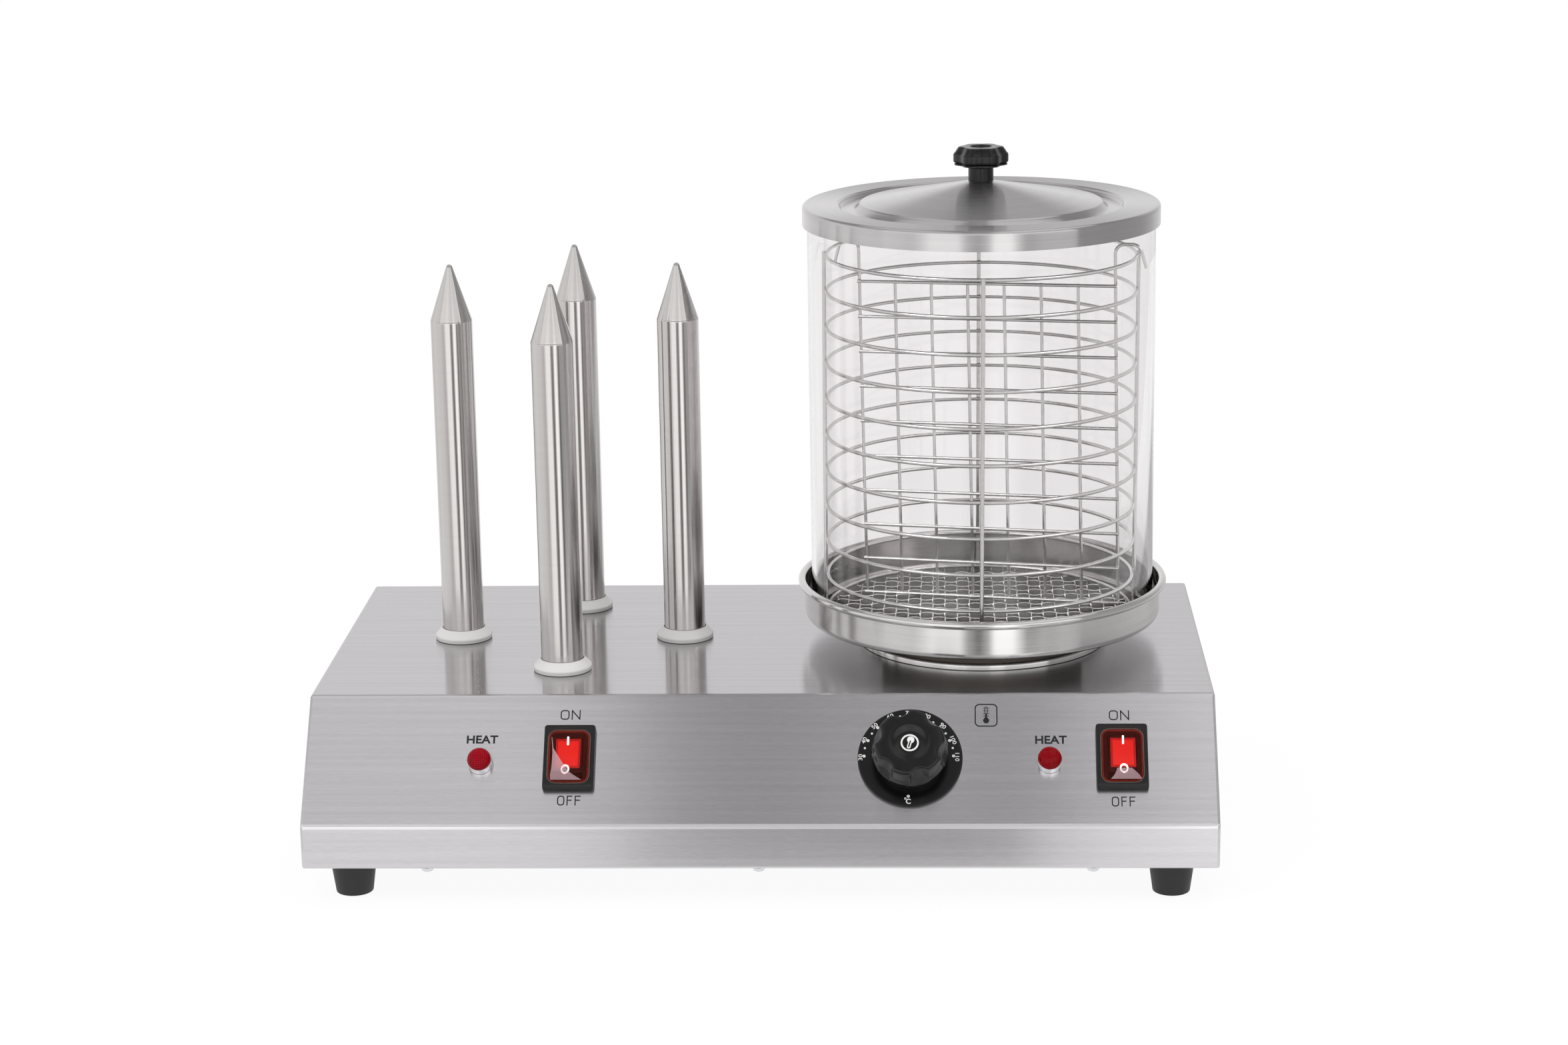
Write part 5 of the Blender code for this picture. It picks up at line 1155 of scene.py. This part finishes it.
# %% Dress the remaining nodes
stay = {"base_housing": sheet_steel, "bottom_plate": zinc_sheet, "cable_gland": black_plastic,
        "heating_element": hot_metal, "thermostat_body": zinc_sheet, "thermostat_capillary": copper_tube,
        "terminal_block": nylon, "lid_screw": zinc_sheet}
stay.update({f"spike_heater_{n}": hot_metal for n in corner_names})
stay.update({f"spike_nut_{n}": zinc_sheet for n in corner_names})
stay.update({f"foot_screw_{n}": zinc_sheet for n in sides_of})
for name, material in stay.items():
    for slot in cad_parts[name].material_slots:
        slot.material = material
print(len(stay), "nodes dressed in place")

# %% [markdown]
# ## Floor, walls of light and lamps
# A product like this is shot in a white tent. Steel shows nothing but its surroundings, so the
# tent matters more than the lamps. A ring of cloth stands round the table, seen only in
# reflections: bright behind, at the left and in two strips beside the camera, dimmer at the right,
# and dark where the camera and a seam are. In front, a bright sheet hides the dark places from
# just above the table up to 1.5 m, and above that all the cloth is dim. A roof closes it, darker
# over the middle.

# %% Stage
TENT_RADIUS, TENT_LOW, TENT_TOP = 2.0, -0.9, 2.6
UPPER_CLOTH = 0.39
TENT_STOPS = ((-180, 0.95), (180, 0.95), (-120, 0.92), (-105, 1.08), (-65, 1.0), (-42, 0.70), (-30, 1.5),
              (-11, 1.5), (-6, 0.5), (1, 0.05), (7, 0.6), (11, 1.7), (22, 1.7), (31, 0.1), (36, 0.16),
              (41, 0.41), (75, 0.46), (90, 0.44), (120, 0.46), (140, 0.62), (160, 0.84))
ROOF_STOPS = ((-2, 0.9), (2, 1.05), (-0.8, 0.86), (-0.45, 0.86), (-0.4, 0.76), (-0.335, 0.66), (-0.27, 0.43),
              (-0.2, 0.375), (-0.12, 0.365), (-0.02, 0.45), (0.1, 0.48), (0.19, 0.4), (0.25, 0.46),
              (0.31, 0.7), (0.38, 0.74), (0.45, 0.95))
CARD_STOPS = ((-0.6, 0.78), (0.8, 1.1), (-0.122, 0.88), (-0.093, 0.78), (-0.064, 0.56), (-0.035, 0.46),
              (-0.008, 0.42), (0.11, 0.41), (0.138, 0.47), (0.167, 0.8), (0.196, 0.96), (0.254, 1.06))


def levels(tree, value, stops, top=1.4):
    """Brightness that follows a value by stops of (value, level), the two ends first."""
    low, high = stops[0][0], stops[1][0]
    ramp = add(tree, "ShaderNodeValToRGB", {"Fac": remap(tree, value, low, high)})
    elements = ramp.color_ramp.elements
    for index, (at, level) in enumerate(stops):
        share = (at - low) / (high - low)
        stop = elements[index] if index < 2 else elements.new(share)
        stop.position = share
        stop.color = (level / top, level / top, level / top, 1)
    return calc(tree, "MULTIPLY", ramp, top)


def stage_piece(name, shape):
    """A piece of the studio, its tree, and the places that the tree reads."""
    item = into_scene(name, to_mesh(shape, name, outward=False))
    made = blank_material(name)
    item.data.materials.append(made)
    where = add(made.node_tree, "ShaderNodeNewGeometry").outputs["Position"]
    return item, made.node_tree, where, split(made.node_tree, where)


def only_in_reflections(item, tree, strength):
    glow = add(tree, "ShaderNodeEmission", {"Color": (1, 0.995, 1, 1), "Strength": strength})
    add(tree, "ShaderNodeOutputMaterial", {"Surface": glow})
    item.visible_camera = item.visible_diffuse = item.visible_shadow = item.visible_transmission = False


def bearing(tree, across, ahead):
    """Angle in degrees from two distances."""
    return calc(tree, "MULTIPLY", calc(tree, "ARCTAN2", across, ahead), 180 / math.pi)


shape = bmesh.new()
foot, crown = ([shape.verts.new((x, y, z)) for x, y in circle(TENT_RADIUS, 96)] for z in (TENT_LOW, TENT_TOP))
walls(shape, [(crown, foot)])
tent, tree, where, axes = stage_piece("tent_cloth", shape)
front = calc(tree, "MULTIPLY", axes["Y"], -1.0)
cloth = levels(tree, bearing(tree, axes["X"], front), TENT_STOPS, top=1.7)
lower = levels(tree, axes["Z"], ((0, 1), (2.6, 0), (1.15, 1), (1.6, 0)))
cloth = calc(tree, "MULTIPLY_ADD", calc(tree, "SUBTRACT", cloth, UPPER_CLOTH), lower, UPPER_CLOTH)
sheet = levels(tree, axes["Z"], ((0, 0), (2.6, 0), (0.04, 0), (0.1, 1.25), (1.45, 1.25), (1.6, 0)))
sheet = calc(tree, "MULTIPLY", sheet, calc(tree, "GREATER_THAN", front, 0.9))
only_in_reflections(tent, tree, calc(tree, "MAXIMUM", cloth, sheet))

shape = bmesh.new()
shape.faces.new([shape.verts.new((x, y, TENT_TOP)) for x, y in circle(TENT_RADIUS, 64)])
roof, tree, where, axes = stage_piece("tent_roof", shape)
only_in_reflections(roof, tree, levels(tree, axes["X"], ROOF_STOPS))
print("tent is", TENT_TOP, "m high")

# %% [markdown]
# ## The table under it
# The table is pale and keeps the soft shadow. It ends just outside the picture in front and at the
# sides, so steel sees past its edge. The camera, mirrors and glass see it mostly as plain white
# light, and diffuse light sees pale cloth. In mirrors it has darker places. The upright skirt
# mirrors the strip in front of it, where a grey card lies right of the middle. A darker cloth lies
# at the right, near enough that only the tray and the foot of the spikes mirror it, and runs on
# behind in a sector that only the right sides of the spikes mirror.

# %% Table, world and lamps
shape = bmesh.new()
shape.faces.new([shape.verts.new((x, y, 0)) for x, y in ((-0.45, -0.42), (0.65, -0.42), (2.6, 6), (-2.4, 6))])
floor, tree, where, axes = stage_piece("pale_floor", shape)
ray = add(tree, "ShaderNodeLightPath")


def background_seen(tree):
    """1 where the camera, a mirror or a glass looks at the background."""
    ray = add(tree, "ShaderNodeLightPath").outputs
    seen = calc(tree, "MAXIMUM", ray["Is Camera Ray"], ray["Is Glossy Ray"])
    return calc(tree, "MAXIMUM", seen, ray["Is Transmission Ray"])


def in_mirrors(test, level):
    """The level where the test holds and a mirror looks, and 1 elsewhere."""
    factor = calc(tree, "MULTIPLY", test, ray.outputs["Is Glossy Ray"])
    return add(tree, "ShaderNodeMix", {"Factor": factor, 2: 1.0, 3: level})


fade = remap(tree, vector_calc(tree, "LENGTH", where), 0.4, 1.1, 0.93, 1.0)
card = in_mirrors(calc(tree, "LESS_THAN", axes["Y"], -0.19), levels(tree, axes["X"], CARD_STOPS))
beside = calc(tree, "LESS_THAN", vector_calc(tree, "DISTANCE", where, (STACK.x, STACK.y, 0)), 0.58)
aside = levels(tree, axes["X"], ((0, 1), (1.6, 1), (0.3, 1), (0.42, 0.5), (0.66, 0.5), (0.8, 1)))
aside = in_mirrors(beside, aside)
sector = bearing(tree, calc(tree, "ADD", axes["Y"], -STACK.y), calc(tree, "ADD", axes["X"], -spike_x))
sector = levels(tree, sector, ((-90, 1), (90, 1), (0, 1), (8, 0.5), (50, 0.5), (62, 1)))
sector = in_mirrors(calc(tree, "LESS_THAN", axes["X"], 0.62), sector)
light = calc(tree, "MULTIPLY", card, calc(tree, "MINIMUM", aside, sector))
white = add(tree, "ShaderNodeEmission", {"Color": (1, 1, 1, 1), "Strength": light})
cloth = add(tree, "ShaderNodeBsdfDiffuse", {"Color": colour("#F6F6F6")})
seen = calc(tree, "MULTIPLY", background_seen(tree), fade)
mix = add(tree, "ShaderNodeMixShader", {0: seen, 1: cloth, 2: white})
add(tree, "ShaderNodeOutputMaterial", {"Surface": mix})

world = bpy.data.worlds.new("studio")
bpy.context.scene.world = world
world.use_nodes = True
tree = world.node_tree
tree.nodes.clear()
sky = add(tree, "ShaderNodeBackground", {"Color": (1, 1, 1, 1),
                                         "Strength": remap(tree, background_seen(tree), 0, 1, 0.6, 1.0)})
add(tree, "ShaderNodeOutputWorld", {"Surface": sky})


def soft_lamp(name, spot, size, power):
    lamp = bpy.data.lights.new(name, "AREA")
    lamp.shape, lamp.size, lamp.energy = "DISK", size, power
    item = into_scene(name, lamp)
    item.location = spot
    item.rotation_euler = (Vector((0, 0, 0.15)) - Vector(spot)).to_track_quat("-Z", "Y").to_euler()
    item.visible_glossy = False


soft_lamp("key_left", (-1.3, -1.3, 1.9), 1.4, 26)
soft_lamp("fill_right", (1.5, -1.0, 1.5), 1.4, 12)
soft_lamp("top", (0.1, 0.3, 2.0), 1.6, 16)
print(len(bpy.data.lights), "lamps")

# %% [markdown]
# ## Camera
# The camera is where the photographer stood, a little above the lid and to the right of the
# middle, with a long lens that keeps upright edges nearly parallel. Its place and turn come from a
# fit to corners and edges that were measured in the photograph.

# %% Camera
CAMERA_PLACE = Vector((0.09839, -1.88513, 0.65974))
yaw, pitch, roll = -0.04648, 0.24901, -0.01657
ahead = Vector((math.sin(yaw) * math.cos(pitch), math.cos(yaw) * math.cos(pitch), -math.sin(pitch)))
right = Vector((math.cos(yaw), -math.sin(yaw), 0))
above = right.cross(ahead)
side = right * math.cos(roll) + above * math.sin(roll)
above = above * math.cos(roll) - right * math.sin(roll)
lens = bpy.data.cameras.new("camera")
lens.sensor_width = 36.0
lens.lens = 78.186
camera = into_scene("camera", lens)
camera.matrix_world = Matrix.Translation(CAMERA_PLACE) @ Matrix((side, above, -ahead)).transposed().to_4x4()
bpy.context.scene.camera = camera
bpy.context.scene.view_settings.view_transform = "Standard"
print("lens of", round(lens.lens), "mm")
